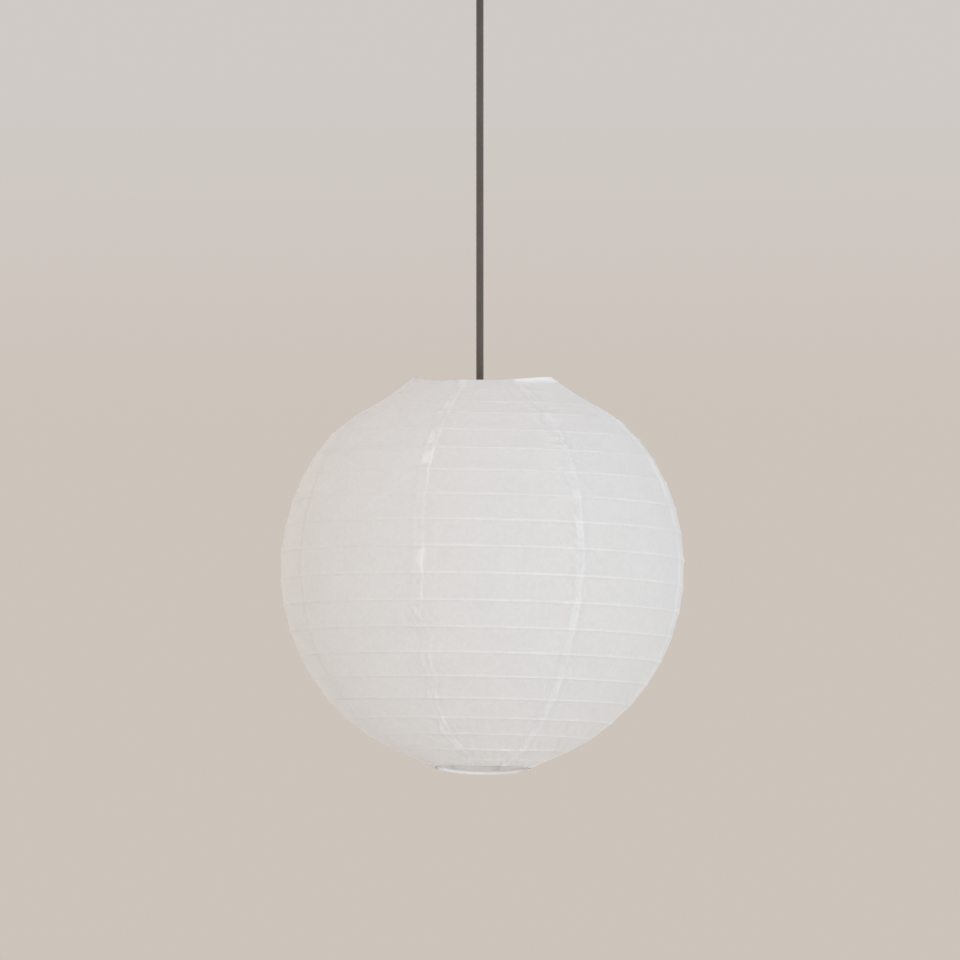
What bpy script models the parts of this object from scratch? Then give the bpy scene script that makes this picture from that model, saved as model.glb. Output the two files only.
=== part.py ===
"""Round paper lantern, 350 mm, hung from the ceiling on a pendant cord set.

Frame: origin at the middle of the ceiling bracket's top face, +Z up, +X to the right and -Y to
the front of the lantern. All visible pieces hang below z = 0. Dimensions are in millimetres and
angles in degrees; mm() turns lengths into metres. The shade is eight paper gores over nineteen
wire hoops between a top and a bottom ring, kept stretched by a bent wire expander whose middle
ring sits round the lampholder.
"""

import math

import bmesh
import bpy
from mathutils import Matrix, Vector

# ---------------------------------------------------------------- shared dimensions
GAP = 0.3                  # clearance between neighbouring pieces
SIDES = ((-1, "left"), (1, "right"))    # sign of x and the label that goes with it
ORIGIN = Vector((0, 0, 0))
SMOOTH_ANGLE = 35.0        # edges sharper than this stay crisp

# Shade. Rows run from the top opening (0) over the hoops to the bottom opening.
# Azimuths are measured from the front towards +X.
SHADE_RADIUS = 175.0
RIM_Z = -430.0             # nominal height of the top opening
TOP_LATITUDE = 69.35
BOTTOM_LATITUDE = -75.8
HOOP_STEP_UPPER = 7.35     # latitude between rows down to MIDDLE_ROW
HOOP_STEP_LOWER = 7.45     # and below it
HOOPS = 19
TOP_ROW = 0
MIDDLE_ROW = 9
BOTTOM_ROW = HOOPS + 1
GORE_SEAMS = (-18.5, 27.7, 75.5, 120.0, 164.5, 209.0, 253.5, 297.5)    # seam azimuths
GORE_FACETS = 3            # flat facets across one gore
PAPER_THICKNESS = 0.35
HOOP_WIRE_RADIUS = 0.7
RING_WIRE_RADIUS = 1.2
TOP_RING_RADIUS = 59.8
BOTTOM_RING_RADIUS = 41.2

# How the hung shade departs from a true sphere, by row
ROW_SAG = {0: -2.2, 1: -5.2, 2: -3.95, 3: -0.85, 4: -0.25, 5: 1.0, 6: 1.0, 7: 0.8, 8: 0.5,
           9: 0.2, 18: -0.8, 19: -0.8, 20: -1.9}        # height change, negative is lower
ROW_SADDLE = {0: 3.6, 1: 1.2, 2: 1.65, 3: 1.55, 4: 1.75, 5: 1.2, 6: 1.0, 7: 0.8, 8: 0.5,
              9: 0.2, 18: 1.2, 19: 1.2, 20: 0.9}        # up at left and right, down at front and back
ROW_SLOPE = {0: 0.3, 1: 0.6, 19: 1.0, 20: 0.9}          # degrees down towards +X
USUAL_SLOPE = 1.1                                       # slope of the rows not listed
ROW_PITCH = {17: 0.4, 18: 0.8, 19: 1.6, 20: 4.4}        # degrees up towards the front
SHADE_SHIFT = 2.3          # the shade hangs a little to +X of its cord
SHADE_LEAN = 4.2           # more shift towards the top of the sphere, less towards its foot
ROW_SHIFT = {0: 2.5, 1: 4.4, 17: -0.6, 18: -0.2, 19: 0.6, 20: 2.3}    # rows off that lean
# where a row gives locally: azimuth, spread in degrees, height change, reach change
ROW_GIVE = {0: (-50.0, 24.0, -2.6, 0.0), 2: (-90.0, 45.0, 0.0, -3.4), 3: (-90.0, 45.0, 0.0, -2.8)}
NO_GIVE = (0.0, 1.0, 0.0, 0.0)

# Cord
CORD_RADIUS = 3.25
CORD_TOP_Z = -27.0
CORD_END_Z = -441.0
TILT_Z = -438.5            # where the lantern tilts on the cord

# Hook, whose bend also places the cord grip's eye
HOOK_WIRE_RADIUS = 2.0
HOOK_BEND_RADIUS = 5.2
HOOK_BEND_Z = -13.0        # centre of the bend
HOOK_LOW_Z = HOOK_BEND_Z - HOOK_BEND_RADIUS    # centre of the wire at its lowest point


# ---------------------------------------------------------------- object helpers
def mm(value):
    return value / 1000.0


def point(x, y, z):
    return Vector((mm(x), mm(y), mm(z)))


def world_of(obj):
    """Rest position of an object that is only ever translated."""
    position = Vector((0, 0, 0))
    while obj is not None:
        position += obj.location
        obj = obj.parent
    return position


def new_object(name, data, position=ORIGIN, parent=None):
    """Link an object at a world position."""
    obj = bpy.data.objects.new(name, data)
    bpy.context.scene.collection.objects.link(obj)
    obj.parent = parent
    obj.location = position - world_of(parent)
    return obj


def empty(name, position, parent=None):
    obj = new_object(name, None, position, parent)
    obj.empty_display_size = 0.01
    return obj


def add(name, data, material_name, parent, origin=None):
    """A piece from data in world coordinates; its origin is the parent's unless given."""
    if origin is None:
        origin = world_of(parent)
    data.name = name
    data.transform(Matrix.Translation(-origin))
    data.materials.append(bpy.data.materials[material_name])
    return new_object(name, data, origin, parent)


def boolean(obj, helper_name, mesh, operation="DIFFERENCE"):
    """Cut or join a mesh through a helper object that isn't rendered."""
    helper = new_object(helper_name, mesh)
    helper.hide_render = True
    helper.display_type = "WIRE"
    modifier = obj.modifiers.new(operation.lower(), "BOOLEAN")
    modifier.operation = operation
    modifier.object = helper
    modifier.solver = "EXACT"


# ---------------------------------------------------------------- shape helpers
def arc(centre, radius, angles):
    """Points of a circle in a plane, at angles in degrees."""
    turns = [math.radians(angle) for angle in angles]
    return [(centre[0] + radius * math.cos(turn), centre[1] + radius * math.sin(turn))
            for turn in turns]


def finish_mesh(bm, smooth=True):
    bmesh.ops.remove_doubles(bm, verts=bm.verts, dist=1e-6)
    bmesh.ops.recalc_face_normals(bm, faces=bm.faces)
    mesh = bpy.data.meshes.new("mesh")
    bm.to_mesh(mesh)
    bm.free()
    if smooth:
        mesh.shade_smooth()
        mesh.set_sharp_from_angle(angle=math.radians(SMOOTH_ANGLE))
    return mesh


def turned(profile, segments, centre=(0.0, 0.0)):
    """(radius, z) profile spun about the vertical through centre.

    A profile with both ends on the axis closes into poles; any other is joined end to start.
    """
    bm = bmesh.new()
    verts = [bm.verts.new(point(radius, 0, z)) for radius, z in profile]
    on_axis = profile[0][0] == 0 and profile[-1][0] == 0
    loop = verts if on_axis else verts + [verts[0]]
    edges = [bm.edges.new(pair) for pair in zip(loop[:-1], loop[1:])]
    bmesh.ops.spin(bm, geom=verts + edges, cent=(0, 0, 0), axis=(0, 0, 1), angle=2 * math.pi,
                   steps=segments, use_merge=True)
    bmesh.ops.remove_doubles(bm, verts=bm.verts, dist=1e-6)
    bmesh.ops.translate(bm, verts=bm.verts, vec=point(*centre, 0))
    return finish_mesh(bm)


def cylinder(radius, top, bottom, segments, centre=(0.0, 0.0)):
    """An upright solid cylinder."""
    return turned([(0, top), (radius, top), (radius, bottom), (0, bottom)], segments, centre)


def block(low, high):
    """A box between two opposite corners."""
    bm = bmesh.new()
    bmesh.ops.create_cube(bm, size=1.0)
    size = [mm(b - a) for a, b in zip(low, high)]
    centre = [mm(0.5 * (a + b)) for a, b in zip(low, high)]
    bmesh.ops.scale(bm, vec=size, verts=bm.verts)
    bmesh.ops.translate(bm, vec=centre, verts=bm.verts)
    return finish_mesh(bm, smooth=False)


def plate(outline, axis, start, end):
    """A flat outline extruded along X or Y; its points are the other two coordinates in order."""
    def corner(first, second, depth):
        if axis == "X":
            return point(depth, first, second)
        return point(first, depth, second)

    bm = bmesh.new()
    face = bm.faces.new([bm.verts.new(corner(*pair, start)) for pair in outline])
    made = bmesh.ops.extrude_face_region(bm, geom=[face])
    moved = [item for item in made["geom"] if isinstance(item, bmesh.types.BMVert)]
    bmesh.ops.translate(bm, verts=moved, vec=corner(0, 0, end) - corner(0, 0, start))
    return finish_mesh(bm, smooth=False)


def rod(start, end, radius):
    """A plain round bar between two points."""
    bm = bmesh.new()
    first, last = point(*start), point(*end)
    along = last - first
    turn = along.to_track_quat("Z", "Y").to_matrix().to_4x4()
    bmesh.ops.create_cone(bm, cap_ends=True, segments=10, radius1=mm(radius), radius2=mm(radius),
                          depth=along.length,
                          matrix=Matrix.Translation((first + last) / 2) @ turn)
    return finish_mesh(bm)


def wire(points, radius, closed=False, round_steps=1):
    """A bent round wire: a bevelled curve, with filled caps when it is open."""
    curve = bpy.data.curves.new("wire", "CURVE")
    curve.dimensions = "3D"
    curve.bevel_depth = mm(radius)
    curve.bevel_resolution = round_steps
    curve.use_fill_caps = not closed
    spline = curve.splines.new("POLY")
    spline.points.add(len(points) - 1)
    for spline_point, (x, y, z) in zip(spline.points, points):
        spline_point.co = (mm(x), mm(y), mm(z), 1.0)
    spline.use_cyclic_u = closed
    spline.use_smooth = True
    return curve


# ---------------------------------------------------------------- materials
def material(name, rgb, roughness, metallic=0.0):
    mat = bpy.data.materials.new(name)
    mat.use_nodes = True
    shader = mat.node_tree.nodes["Principled BSDF"]
    shader.inputs["Base Color"].default_value = (*rgb, 1.0)
    shader.inputs["Roughness"].default_value = roughness
    shader.inputs["Metallic"].default_value = metallic
    mat.diffuse_color = (*rgb, 1.0)


def make_materials():
    material("paper_white", rgb=(0.80, 0.78, 0.75), roughness=0.85)
    material("zinc_wire", rgb=(0.62, 0.62, 0.60), roughness=0.38, metallic=0.9)
    material("cream_wire", rgb=(0.74, 0.70, 0.62), roughness=0.5, metallic=0.2)
    material("cord_grey", rgb=(0.085, 0.070, 0.062), roughness=0.8)
    material("holder_white", rgb=(0.78, 0.77, 0.74), roughness=0.4)
    material("insulator_cream", rgb=(0.76, 0.73, 0.66), roughness=0.35)
    material("contact_brass", rgb=(0.72, 0.55, 0.26), roughness=0.35, metallic=1.0)
    material("cap_nickel", rgb=(0.66, 0.66, 0.65), roughness=0.3, metallic=1.0)
    material("frosted_glass", rgb=(0.90, 0.90, 0.88), roughness=0.25)
    material("canopy_grey", rgb=(0.10, 0.088, 0.080), roughness=0.5)
    material("galvanised", rgb=(0.55, 0.56, 0.57), roughness=0.42, metallic=0.9)
    material("nylon_natural", rgb=(0.78, 0.76, 0.70), roughness=0.45)
    material("terminal_clear", rgb=(0.82, 0.82, 0.80), roughness=0.35)
    material("core_brown", rgb=(0.20, 0.09, 0.04), roughness=0.5)
    material("core_blue", rgb=(0.05, 0.14, 0.38), roughness=0.5)


# ---------------------------------------------------------------- ceiling bracket
BRACKET_REACH = 48.0       # half its length
BRACKET_HALF_WIDTH = 9.0
BRACKET_THICKNESS = 2.0
TAB_Z = -20.0              # lower end of the turned-down tabs
STRAP_HOLE_X = 28.0
STRAP_HOLE_RADIUS = 2.6
SLOT_HALF_WIDTH = 2.3
SLOT_TOP_Z = -12.0


def build_bracket(ceiling):
    """Strap with two turned-down tabs, each with a slot open at the bottom."""
    inner = BRACKET_REACH - BRACKET_THICKNESS
    outline = [(-BRACKET_REACH, 0), (-BRACKET_REACH, TAB_Z), (-inner, TAB_Z),
               (-inner, -BRACKET_THICKNESS), (inner, -BRACKET_THICKNESS), (inner, TAB_Z),
               (BRACKET_REACH, TAB_Z), (BRACKET_REACH, 0)]
    bracket = add("ceiling_bracket", plate(outline, "Y", -BRACKET_HALF_WIDTH, BRACKET_HALF_WIDTH),
                  "galvanised", ceiling)
    for side, _ in SIDES:
        hole = cylinder(STRAP_HOLE_RADIUS, 3, -6, 12, centre=(side * STRAP_HOLE_X, 0))
        boolean(bracket, f"cut_strap_hole_{side}", hole)
        tab_x = side * (BRACKET_REACH - BRACKET_THICKNESS / 2)
        slot = block((tab_x - 3, -SLOT_HALF_WIDTH, TAB_Z - 4),
                     (tab_x + 3, SLOT_HALF_WIDTH, SLOT_TOP_Z))
        boolean(bracket, f"cut_tab_slot_{side}", slot)


# ---------------------------------------------------------------- hook under the strap
HOOK_SHANK = [(0, 0, -3.4), (0, 0, -5.6), (0, 3.4, -8.6)]    # x, y, z down to the bend
HOOK_BEND_ANGLES = range(10, -191, -25)
HOOK_FOOT_RADIUS = 6.5
HOOK_FOOT_BOTTOM_Z = -4.2


def build_hook(ceiling):
    """Shank and bend in the YZ plane, turned into a mesh and joined to a flat round foot."""
    path = HOOK_SHANK + [(0, y, z) for y, z in
                         arc((0, HOOK_BEND_Z), HOOK_BEND_RADIUS, HOOK_BEND_ANGLES)]
    bent = add("ceiling_hook", wire(path, HOOK_WIRE_RADIUS, round_steps=2), "galvanised", ceiling)
    mesh = bpy.data.meshes.new_from_object(bent)
    bpy.data.objects.remove(bent, do_unlink=True)
    hook = new_object("ceiling_hook", mesh, parent=ceiling)
    foot = cylinder(HOOK_FOOT_RADIUS, -BRACKET_THICKNESS - GAP, HOOK_FOOT_BOTTOM_Z, 20)
    boolean(hook, "join_hook_foot", foot, "UNION")


# ---------------------------------------------------------------- terminal block and cores
TERMINAL_LOW = (20, -11.5, -18)
TERMINAL_HIGH = (36, 1.5, -7)
BLUE_Y, BROWN_Y = ENTRY_YS = (-7.5, -2.5)
ENTRY_Z = -12.5
ENTRY_RADIUS = 1.9
WELL_X = 29.0              # screw wells open at the bottom face
WELL_RADIUS = 1.7
CORE_RADIUS = 1.1
CORE_END_X = 25.0
# x, y, z along each core, from the lower end to the one inside the block
BROWN_PATH = [(3.8, -3.1, -24.8), (3.8, -3.1, -21), (9, -3, -14),
              (14, BROWN_Y, ENTRY_Z), (CORE_END_X, BROWN_Y, ENTRY_Z)]
BLUE_PATH = [(-3.8, -3.1, -24.8), (-3.8, -4.4, -22.5), (-1, -9.8, -19), (8, -9.8, -15),
             (15, BLUE_Y, ENTRY_Z), (CORE_END_X, BLUE_Y, ENTRY_Z)]


def build_terminal(ceiling):
    terminal = add("terminal_block", block(TERMINAL_LOW, TERMINAL_HIGH), "terminal_clear", ceiling)
    for k, y in enumerate(ENTRY_YS):
        entry = plate(arc((y, ENTRY_Z), ENTRY_RADIUS, range(0, 360, 45)), "X", 18, 26)
        boolean(terminal, f"cut_entry_{k}", entry)
        well = cylinder(WELL_RADIUS, -22, -15.2, 10, centre=(WELL_X, y))
        boolean(terminal, f"cut_screw_well_{k}", well)
    for name, path in (("core_brown", BROWN_PATH), ("core_blue", BLUE_PATH)):
        add(name, wire(path, CORE_RADIUS), name, ceiling)


# ---------------------------------------------------------------- canopy
CANOPY_RADIUS = 52.0
CANOPY_HEIGHT = 60.0
CANOPY_HOLE_RADIUS = 8.0
CANOPY_WALL = 1.2
CANOPY_FLOOR = 1.6
CANOPY_TOP_Z = -0.5
THUMB_SCREW_Z = -16.0
THUMB_SCREW_X = 42.0       # inner end of each screw
THUMB_HOLE_RADIUS = 2.3
# radius, distance along the screw from its inner end
THUMB_SCREW = [(0.0, 0.0), (1.9, 0.0), (1.9, 10.5), (3.9, 10.5), (3.9, 13.2), (3.2, 13.8),
               (0.0, 13.8)]


def build_canopy(ceiling):
    """Cup with two radial thumb screws; it drops off the bracket down the cord."""
    canopy = empty("canopy_drop_axis", ORIGIN, ceiling)
    outer, inner = CANOPY_RADIUS, CANOPY_RADIUS - CANOPY_WALL
    bottom = -CANOPY_HEIGHT
    floor = bottom + CANOPY_FLOOR
    profile = [(outer, CANOPY_TOP_Z), (outer, bottom + 6), (outer - 1.8, bottom + 1.8),
               (outer - 6, bottom), (CANOPY_HOLE_RADIUS, bottom), (CANOPY_HOLE_RADIUS, floor),
               (inner - 5, floor), (inner - 1.4, bottom + 3), (inner, bottom + 6.6),
               (inner, CANOPY_TOP_Z)]
    cup = add("canopy_cup", turned(profile, 40), "canopy_grey", canopy)
    for side, label in SIDES:
        hole = rod((side * 47, 0, THUMB_SCREW_Z), (side * 58, 0, THUMB_SCREW_Z), THUMB_HOLE_RADIUS)
        boolean(cup, f"cut_canopy_screw_{label}", hole)
        inner_end = point(side * THUMB_SCREW_X, 0, THUMB_SCREW_Z)
        screw = turned(THUMB_SCREW, 12)
        turn = Matrix.Rotation(math.radians(90 * side), 4, "Y")
        screw.transform(Matrix.Translation(inner_end) @ turn)
        add(f"canopy_screw_{label}", screw, "galvanised", canopy, inner_end)


# ---------------------------------------------------------------- cord grip
GRIP_HALF_WIDTH = 9.5
GRIP_DEPTH = 5.4           # reach of each half to the back or the front
GRIP_BOTTOM_Z = -42.0
GRIP_BODY_TOP_Z = -23.0
GRIP_CLAMP_TOP_Z = -25.4
BORE_RADIUS = CORD_RADIUS + 0.5
BODY_BORE_TOP_Z = -24.9
CLAMP_BORE_TOP_Z = -24.0
EYE_RADIUS = 6.2
EYE_HOLE_RADIUS = 3.4
EYE_Z = HOOK_LOW_Z + HOOK_WIRE_RADIUS + 1.5 * GAP - EYE_HOLE_RADIUS
EYE_FOOT_Z = -24.6         # the eye plate ends inside the body
EYE_HALF_THICKNESS = 1.3
GRIP_SCREW_X = 6.7
GRIP_SCREW_Z = -34.0
GRIP_SCREW_BACK_Y = 3.5
THROUGH_RADIUS = 1.5
PILOT_RADIUS = 1.35
# radius, distance forwards from the back end
GRIP_SCREW = [(0.0, 0.0), (1.05, 0.0), (1.05, 9.2), (2.4, 9.2), (2.4, 10.6), (1.9, 11.2),
              (0.0, 11.2)]


def build_grip(swing):
    """Back half with the eye that hangs on the hook, and the clamp in front of it."""
    body = add("cord_grip_body",
               block((-GRIP_HALF_WIDTH, GAP / 2, GRIP_BOTTOM_Z),
                     (GRIP_HALF_WIDTH, GRIP_DEPTH, GRIP_BODY_TOP_Z)),
               "nylon_natural", swing, ORIGIN)
    eye = arc((0, EYE_Z), EYE_RADIUS, range(0, 181, 20))
    eye += [(-EYE_RADIUS, EYE_FOOT_Z), (EYE_RADIUS, EYE_FOOT_Z)]
    boolean(body, "join_eye_plate", plate(eye, "Y", -EYE_HALF_THICKNESS, EYE_HALF_THICKNESS),
            "UNION")
    eye_hole = arc((0, EYE_Z), EYE_HOLE_RADIUS, range(0, 360, 18))
    boolean(body, "cut_eye", plate(eye_hole, "Y", -4, 4))
    clamp = add("cord_grip_clamp",
                block((-GRIP_HALF_WIDTH, -GRIP_DEPTH, GRIP_BOTTOM_Z),
                      (GRIP_HALF_WIDTH, -GAP / 2, GRIP_CLAMP_TOP_Z)),
                "nylon_natural", swing, ORIGIN)
    for piece, top in ((body, BODY_BORE_TOP_Z), (clamp, CLAMP_BORE_TOP_Z)):
        bore = cylinder(BORE_RADIUS, top, GRIP_BOTTOM_Z - 3, 16)
        boolean(piece, f"cut_bore_{piece.name}", bore)
    for k, x in enumerate((-GRIP_SCREW_X, GRIP_SCREW_X)):
        through = rod((x, -8, GRIP_SCREW_Z), (x, -0.05, GRIP_SCREW_Z), THROUGH_RADIUS)
        boolean(clamp, f"cut_clamp_hole_{k}", through)
        pilot = rod((x, -1.0, GRIP_SCREW_Z), (x, 4.2, GRIP_SCREW_Z), PILOT_RADIUS)
        boolean(body, f"cut_pilot_{k}", pilot)
        back_end = point(x, GRIP_SCREW_BACK_Y, GRIP_SCREW_Z)
        screw = turned(GRIP_SCREW, 10)
        screw.transform(Matrix.Translation(back_end) @ Matrix.Rotation(math.radians(90), 4, "X"))
        add(f"grip_screw_{k + 1}", screw, "zinc_wire", swing, back_end)


# ---------------------------------------------------------------- lampholder
# name, material, segments, (radius, z) profile
HOLDER_PARTS = (
    ("cord_gland", "holder_white", 20,
     [(4.3, -436), (6.0, -436), (6.6, -437), (6.6, -441), (8.2, -441.4), (8.2, -444.9),
      (4.3, -444.9)]),
    ("holder_cap", "holder_white", 24,
     [(4.4, -445.3), (9.5, -445.3), (14.5, -447.3), (18.0, -451.5), (20.0, -458.5),
      (20.0, -469.7), (18.3, -469.7), (18.3, -459.0), (16.5, -452.7), (13.4, -448.9),
      (9.2, -447.0), (4.4, -447.0)]),
    ("holder_skirt", "holder_white", 28,
     [(24.0, -470.0), (24.0, -472.9), (19.0, -472.9), (19.0, -505.0), (17.2, -505.0),
      (17.2, -470.0)]),
    ("holder_insulator", "insulator_cream", 20,
     [(0, -474.5), (16.8, -474.5), (16.8, -479.0), (0, -479.0)]),
    ("contact_shell", "contact_brass", 24,
     [(14.4, -479.4), (14.4, -503.0), (13.9, -503.0), (13.9, -479.4)]),
)
# x, z of the bent contact strip: upper face from left to right, then the lower face back
CONTACT_STRIP = [(-7.5, -479.3), (-3.2, -479.3), (-1.2, -481.0), (1.2, -481.0), (3.2, -479.3),
                 (7.5, -479.3), (7.5, -480.1), (3.5, -480.1), (1.5, -481.8), (-1.5, -481.8),
                 (-3.5, -480.1), (-7.5, -480.1)]
CONTACT_HALF_WIDTH = 2.6
COLLAR_AXIS_Z = -480.0
COLLAR = [(25.2, -475.8), (25.8, -477.0), (25.8, -483.6), (25.2, -484.8), (19.4, -484.8),
          (19.4, -475.8)]  # radius, z


def build_lampholder(tilt):
    for name, material_name, segments, profile in HOLDER_PARTS:
        add(name, turned(profile, segments), material_name, tilt)
    strip = plate(CONTACT_STRIP, "Y", -CONTACT_HALF_WIDTH, CONTACT_HALF_WIDTH)
    add("centre_contact", strip, "contact_brass", tilt)


def build_collar(tilt):
    """Ring round the skirt, just below the expander's ring."""
    axis = empty("collar_axis", point(0, 0, COLLAR_AXIS_Z), tilt)
    add("shade_collar", turned(COLLAR, 28), "holder_white", axis)


# ---------------------------------------------------------------- bulb
BULB_AXIS_Z = -484.0
# radius, z
BULB_TIP = [(0, -482.2), (3.6, -482.2), (4.8, -483.2), (4.8, -484.4), (0, -484.4)]
BASE_TOP = [(5.4, -484.7), (8.0, -484.7), (12.2, -488.0)]
BASE_FOOT_AND_INSIDE = [(13.1, -505.0), (13.1, -508.0), (12.2, -508.0), (12.0, -490.2),
                        (9.6, -489.0), (5.4, -486.0)]
RIDGE_RADII = (13.25, 12.5)    # crest and root of the base's ridges
RIDGE_TOP_Z = -489.6
RIDGE_STEP = 1.85          # height from a crest to the next root
GLOBE_RADIUS = 27.0
GLOBE_Z = -556.0
GLASS_THICKNESS = 0.9
# radius, z from the globe up the neck
NECK_OUTER = [(17.2, -528.0), (13.2, -518.0), (11.6, -509.5), (11.6, -492.0)]
NECK_INNER = [(16.3, -528.4), (12.3, -518.2), (10.7, -509.6), (10.7, -492.0)]


def globe_surface(radius, neck):
    """Profile from the bottom pole up the globe and the neck."""
    angles = [-90 + 17.5 * k for k in range(1, 8)]
    return [(0.0, GLOBE_Z - radius)] + arc((0, GLOBE_Z), radius, angles) + neck


def build_bulb(tilt):
    axis = empty("bulb_axis", point(0, 0, BULB_AXIS_Z), tilt)
    add("bulb_contact_tip", turned(BULB_TIP, 16), "cap_nickel", axis)
    ridges = [(RIDGE_RADII[k % 2], RIDGE_TOP_Z - RIDGE_STEP * k) for k in range(8)]
    base = BASE_TOP + ridges + BASE_FOOT_AND_INSIDE
    add("bulb_base", turned(base, 24), "cap_nickel", axis)
    outer = globe_surface(GLOBE_RADIUS, NECK_OUTER)
    inner = globe_surface(GLOBE_RADIUS - GLASS_THICKNESS, NECK_INNER)
    add("bulb_globe", turned(outer + inner[::-1], 28), "frosted_glass", axis)


# ---------------------------------------------------------------- shape of the shade
def row_latitude(row):
    if row == BOTTOM_ROW:
        return BOTTOM_LATITUDE
    upper = min(row, MIDDLE_ROW)
    return TOP_LATITUDE - HOOP_STEP_UPPER * upper - HOOP_STEP_LOWER * (row - upper)


def row_height(row):
    """Mean height of a row, before saddle, slope, pitch and give."""
    centre_z = RIM_Z - SHADE_RADIUS * math.sin(math.radians(TOP_LATITUDE))
    rise = SHADE_RADIUS * math.sin(math.radians(row_latitude(row)))
    return centre_z + rise + ROW_SAG.get(row, 0.0)


def row_shift(row):
    """How far the middle of a row stands to +X of the cord's line."""
    lean = SHADE_LEAN * math.sin(math.radians(row_latitude(row)))
    return ROW_SHIFT.get(row, SHADE_SHIFT + lean)


def row_point(row, azimuth, inset=0.0, radius=None):
    """World point of a row, moved inwards by inset along the sphere's normal."""
    latitude, turn = math.radians(row_latitude(row)), math.radians(azimuth)
    give_azimuth, spread, give_height, give_reach = ROW_GIVE.get(row, NO_GIVE)
    away = (azimuth - give_azimuth + 180.0) % 360.0 - 180.0
    share = math.exp(-((away / spread) ** 2))
    if radius is None:
        radius = SHADE_RADIUS * math.cos(latitude)
    reach = radius - inset * math.cos(latitude) + give_reach * share
    x, y = reach * math.sin(turn), -reach * math.cos(turn)
    z = row_height(row) - inset * math.sin(latitude) + give_height * share
    z -= ROW_SADDLE.get(row, 0.0) * math.cos(2 * turn)
    z -= math.tan(math.radians(ROW_SLOPE.get(row, USUAL_SLOPE))) * x
    z -= math.tan(math.radians(ROW_PITCH.get(row, 0.0))) * y
    return x + row_shift(row), y, z


def gore_azimuths(index):
    """Facet corners across one gore, both seams included."""
    start, end = (GORE_SEAMS + (GORE_SEAMS[0] + 360.0,))[index:index + 2]
    return [start + (end - start) * j / GORE_FACETS for j in range(GORE_FACETS + 1)]


def row_loop(row, inset=0.0, radius=None):
    """Closed loop of a row through every facet corner round the shade."""
    return [row_point(row, azimuth, inset, radius)
            for index in range(len(GORE_SEAMS)) for azimuth in gore_azimuths(index)[:-1]]


# ---------------------------------------------------------------- expander
FRAME_WIRE_RADIUS = 1.1
SOCKET_RING_RADIUS = 21.0
SOCKET_RING_Z = -474.4
LEG_X = 34.5
LEG_TOP_Z = -475.8


def build_expander(tilt):
    """Socket ring, two arms up to the top ring and two springy legs down to the bottom ring."""
    ring = [(x, y, SOCKET_RING_Z) for x, y in arc((0, 0), SOCKET_RING_RADIUS, range(0, 360, 15))]
    add("expander_socket_ring", wire(ring, FRAME_WIRE_RADIUS, closed=True), "zinc_wire", tilt)
    for side, label in SIDES:
        build_arm(tilt, side, label)
        build_leg(tilt, side, label)


def side_wire(side, path):
    """Wire in the XZ plane from (reach, z) points on one side."""
    return wire([(side * reach, 0, z) for reach, z in path], FRAME_WIRE_RADIUS)


def build_arm(tilt, side, label):
    top = row_point(TOP_ROW, 90.0 * side, radius=TOP_RING_RADIUS)[2]
    ring = TOP_RING_RADIUS + side * row_shift(TOP_ROW)    # the ring's reach on this side
    start = SOCKET_RING_RADIUS + FRAME_WIRE_RADIUS + GAP + 0.1
    path = [(start, SOCKET_RING_Z), (LEG_X - 1.2, SOCKET_RING_Z), (LEG_X, SOCKET_RING_Z + 1.2),
            (LEG_X, -447.0), (LEG_X + 2.0, -444.2), (ring - 3.0, top - 5.0),
            (ring - 0.6, top - 3.7), (ring - 3.2, top), (ring - 0.8, top + 3.5)]
    add(f"expander_arm_{label}", side_wire(side, path), "zinc_wire", tilt)


def build_leg(tilt, side, label):
    low = row_point(BOTTOM_ROW, 90.0 * side, radius=BOTTOM_RING_RADIUS)[2]
    ring = BOTTOM_RING_RADIUS + side * row_shift(BOTTOM_ROW)
    path = [(LEG_X, LEG_TOP_Z), (LEG_X, low + 13.0), (ring - 0.6, low + 3.7), (ring - 3.2, low),
            (ring - 0.9, low - 3.5)]
    hinge = empty(f"leg_squeeze_{label}_axis", point(side * LEG_X, 0, LEG_TOP_Z), tilt)
    add(f"expander_leg_{label}", side_wire(side, path), "zinc_wire", hinge)


# ---------------------------------------------------------------- shade
def gore_mesh(index):
    """A grid of flat facets between rows, half a gap short of each seam."""
    bm = bmesh.new()
    grid = []
    for row in range(BOTTOM_ROW + 1):
        row_radius = SHADE_RADIUS * math.cos(math.radians(row_latitude(row)))
        half_gap = math.degrees(0.5 * GAP / row_radius)
        azimuths = gore_azimuths(index)
        azimuths[0] += half_gap
        azimuths[-1] -= half_gap
        grid.append([bm.verts.new(point(*row_point(row, azimuth))) for azimuth in azimuths])
    for upper, lower in zip(grid[:-1], grid[1:]):
        for j in range(GORE_FACETS):
            bm.faces.new((upper[j], lower[j], lower[j + 1], upper[j + 1]))
    mesh = bpy.data.meshes.new("gore")
    bm.to_mesh(mesh)
    bm.free()
    return mesh


def build_gores(tilt):
    for index in range(len(GORE_SEAMS)):
        gore = add(f"paper_gore_{index + 1}", gore_mesh(index), "paper_white", tilt)
        solid = gore.modifiers.new("thickness", "SOLIDIFY")
        solid.thickness = mm(PAPER_THICKNESS)
        solid.offset = -1.0    # inwards
        solid.use_even_offset = True


def build_rings(tilt):
    """The top ring stays with the lampholder; the bottom one rises when the shade folds."""
    top = row_loop(TOP_ROW, radius=TOP_RING_RADIUS)
    add("top_ring", wire(top, RING_WIRE_RADIUS, closed=True), "zinc_wire", tilt)
    fold = empty("shade_fold_axis", point(0, 0, row_height(BOTTOM_ROW)), tilt)
    bottom = row_loop(BOTTOM_ROW, radius=BOTTOM_RING_RADIUS)
    add("bottom_ring", wire(bottom, RING_WIRE_RADIUS, closed=True), "zinc_wire", fold)


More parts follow.
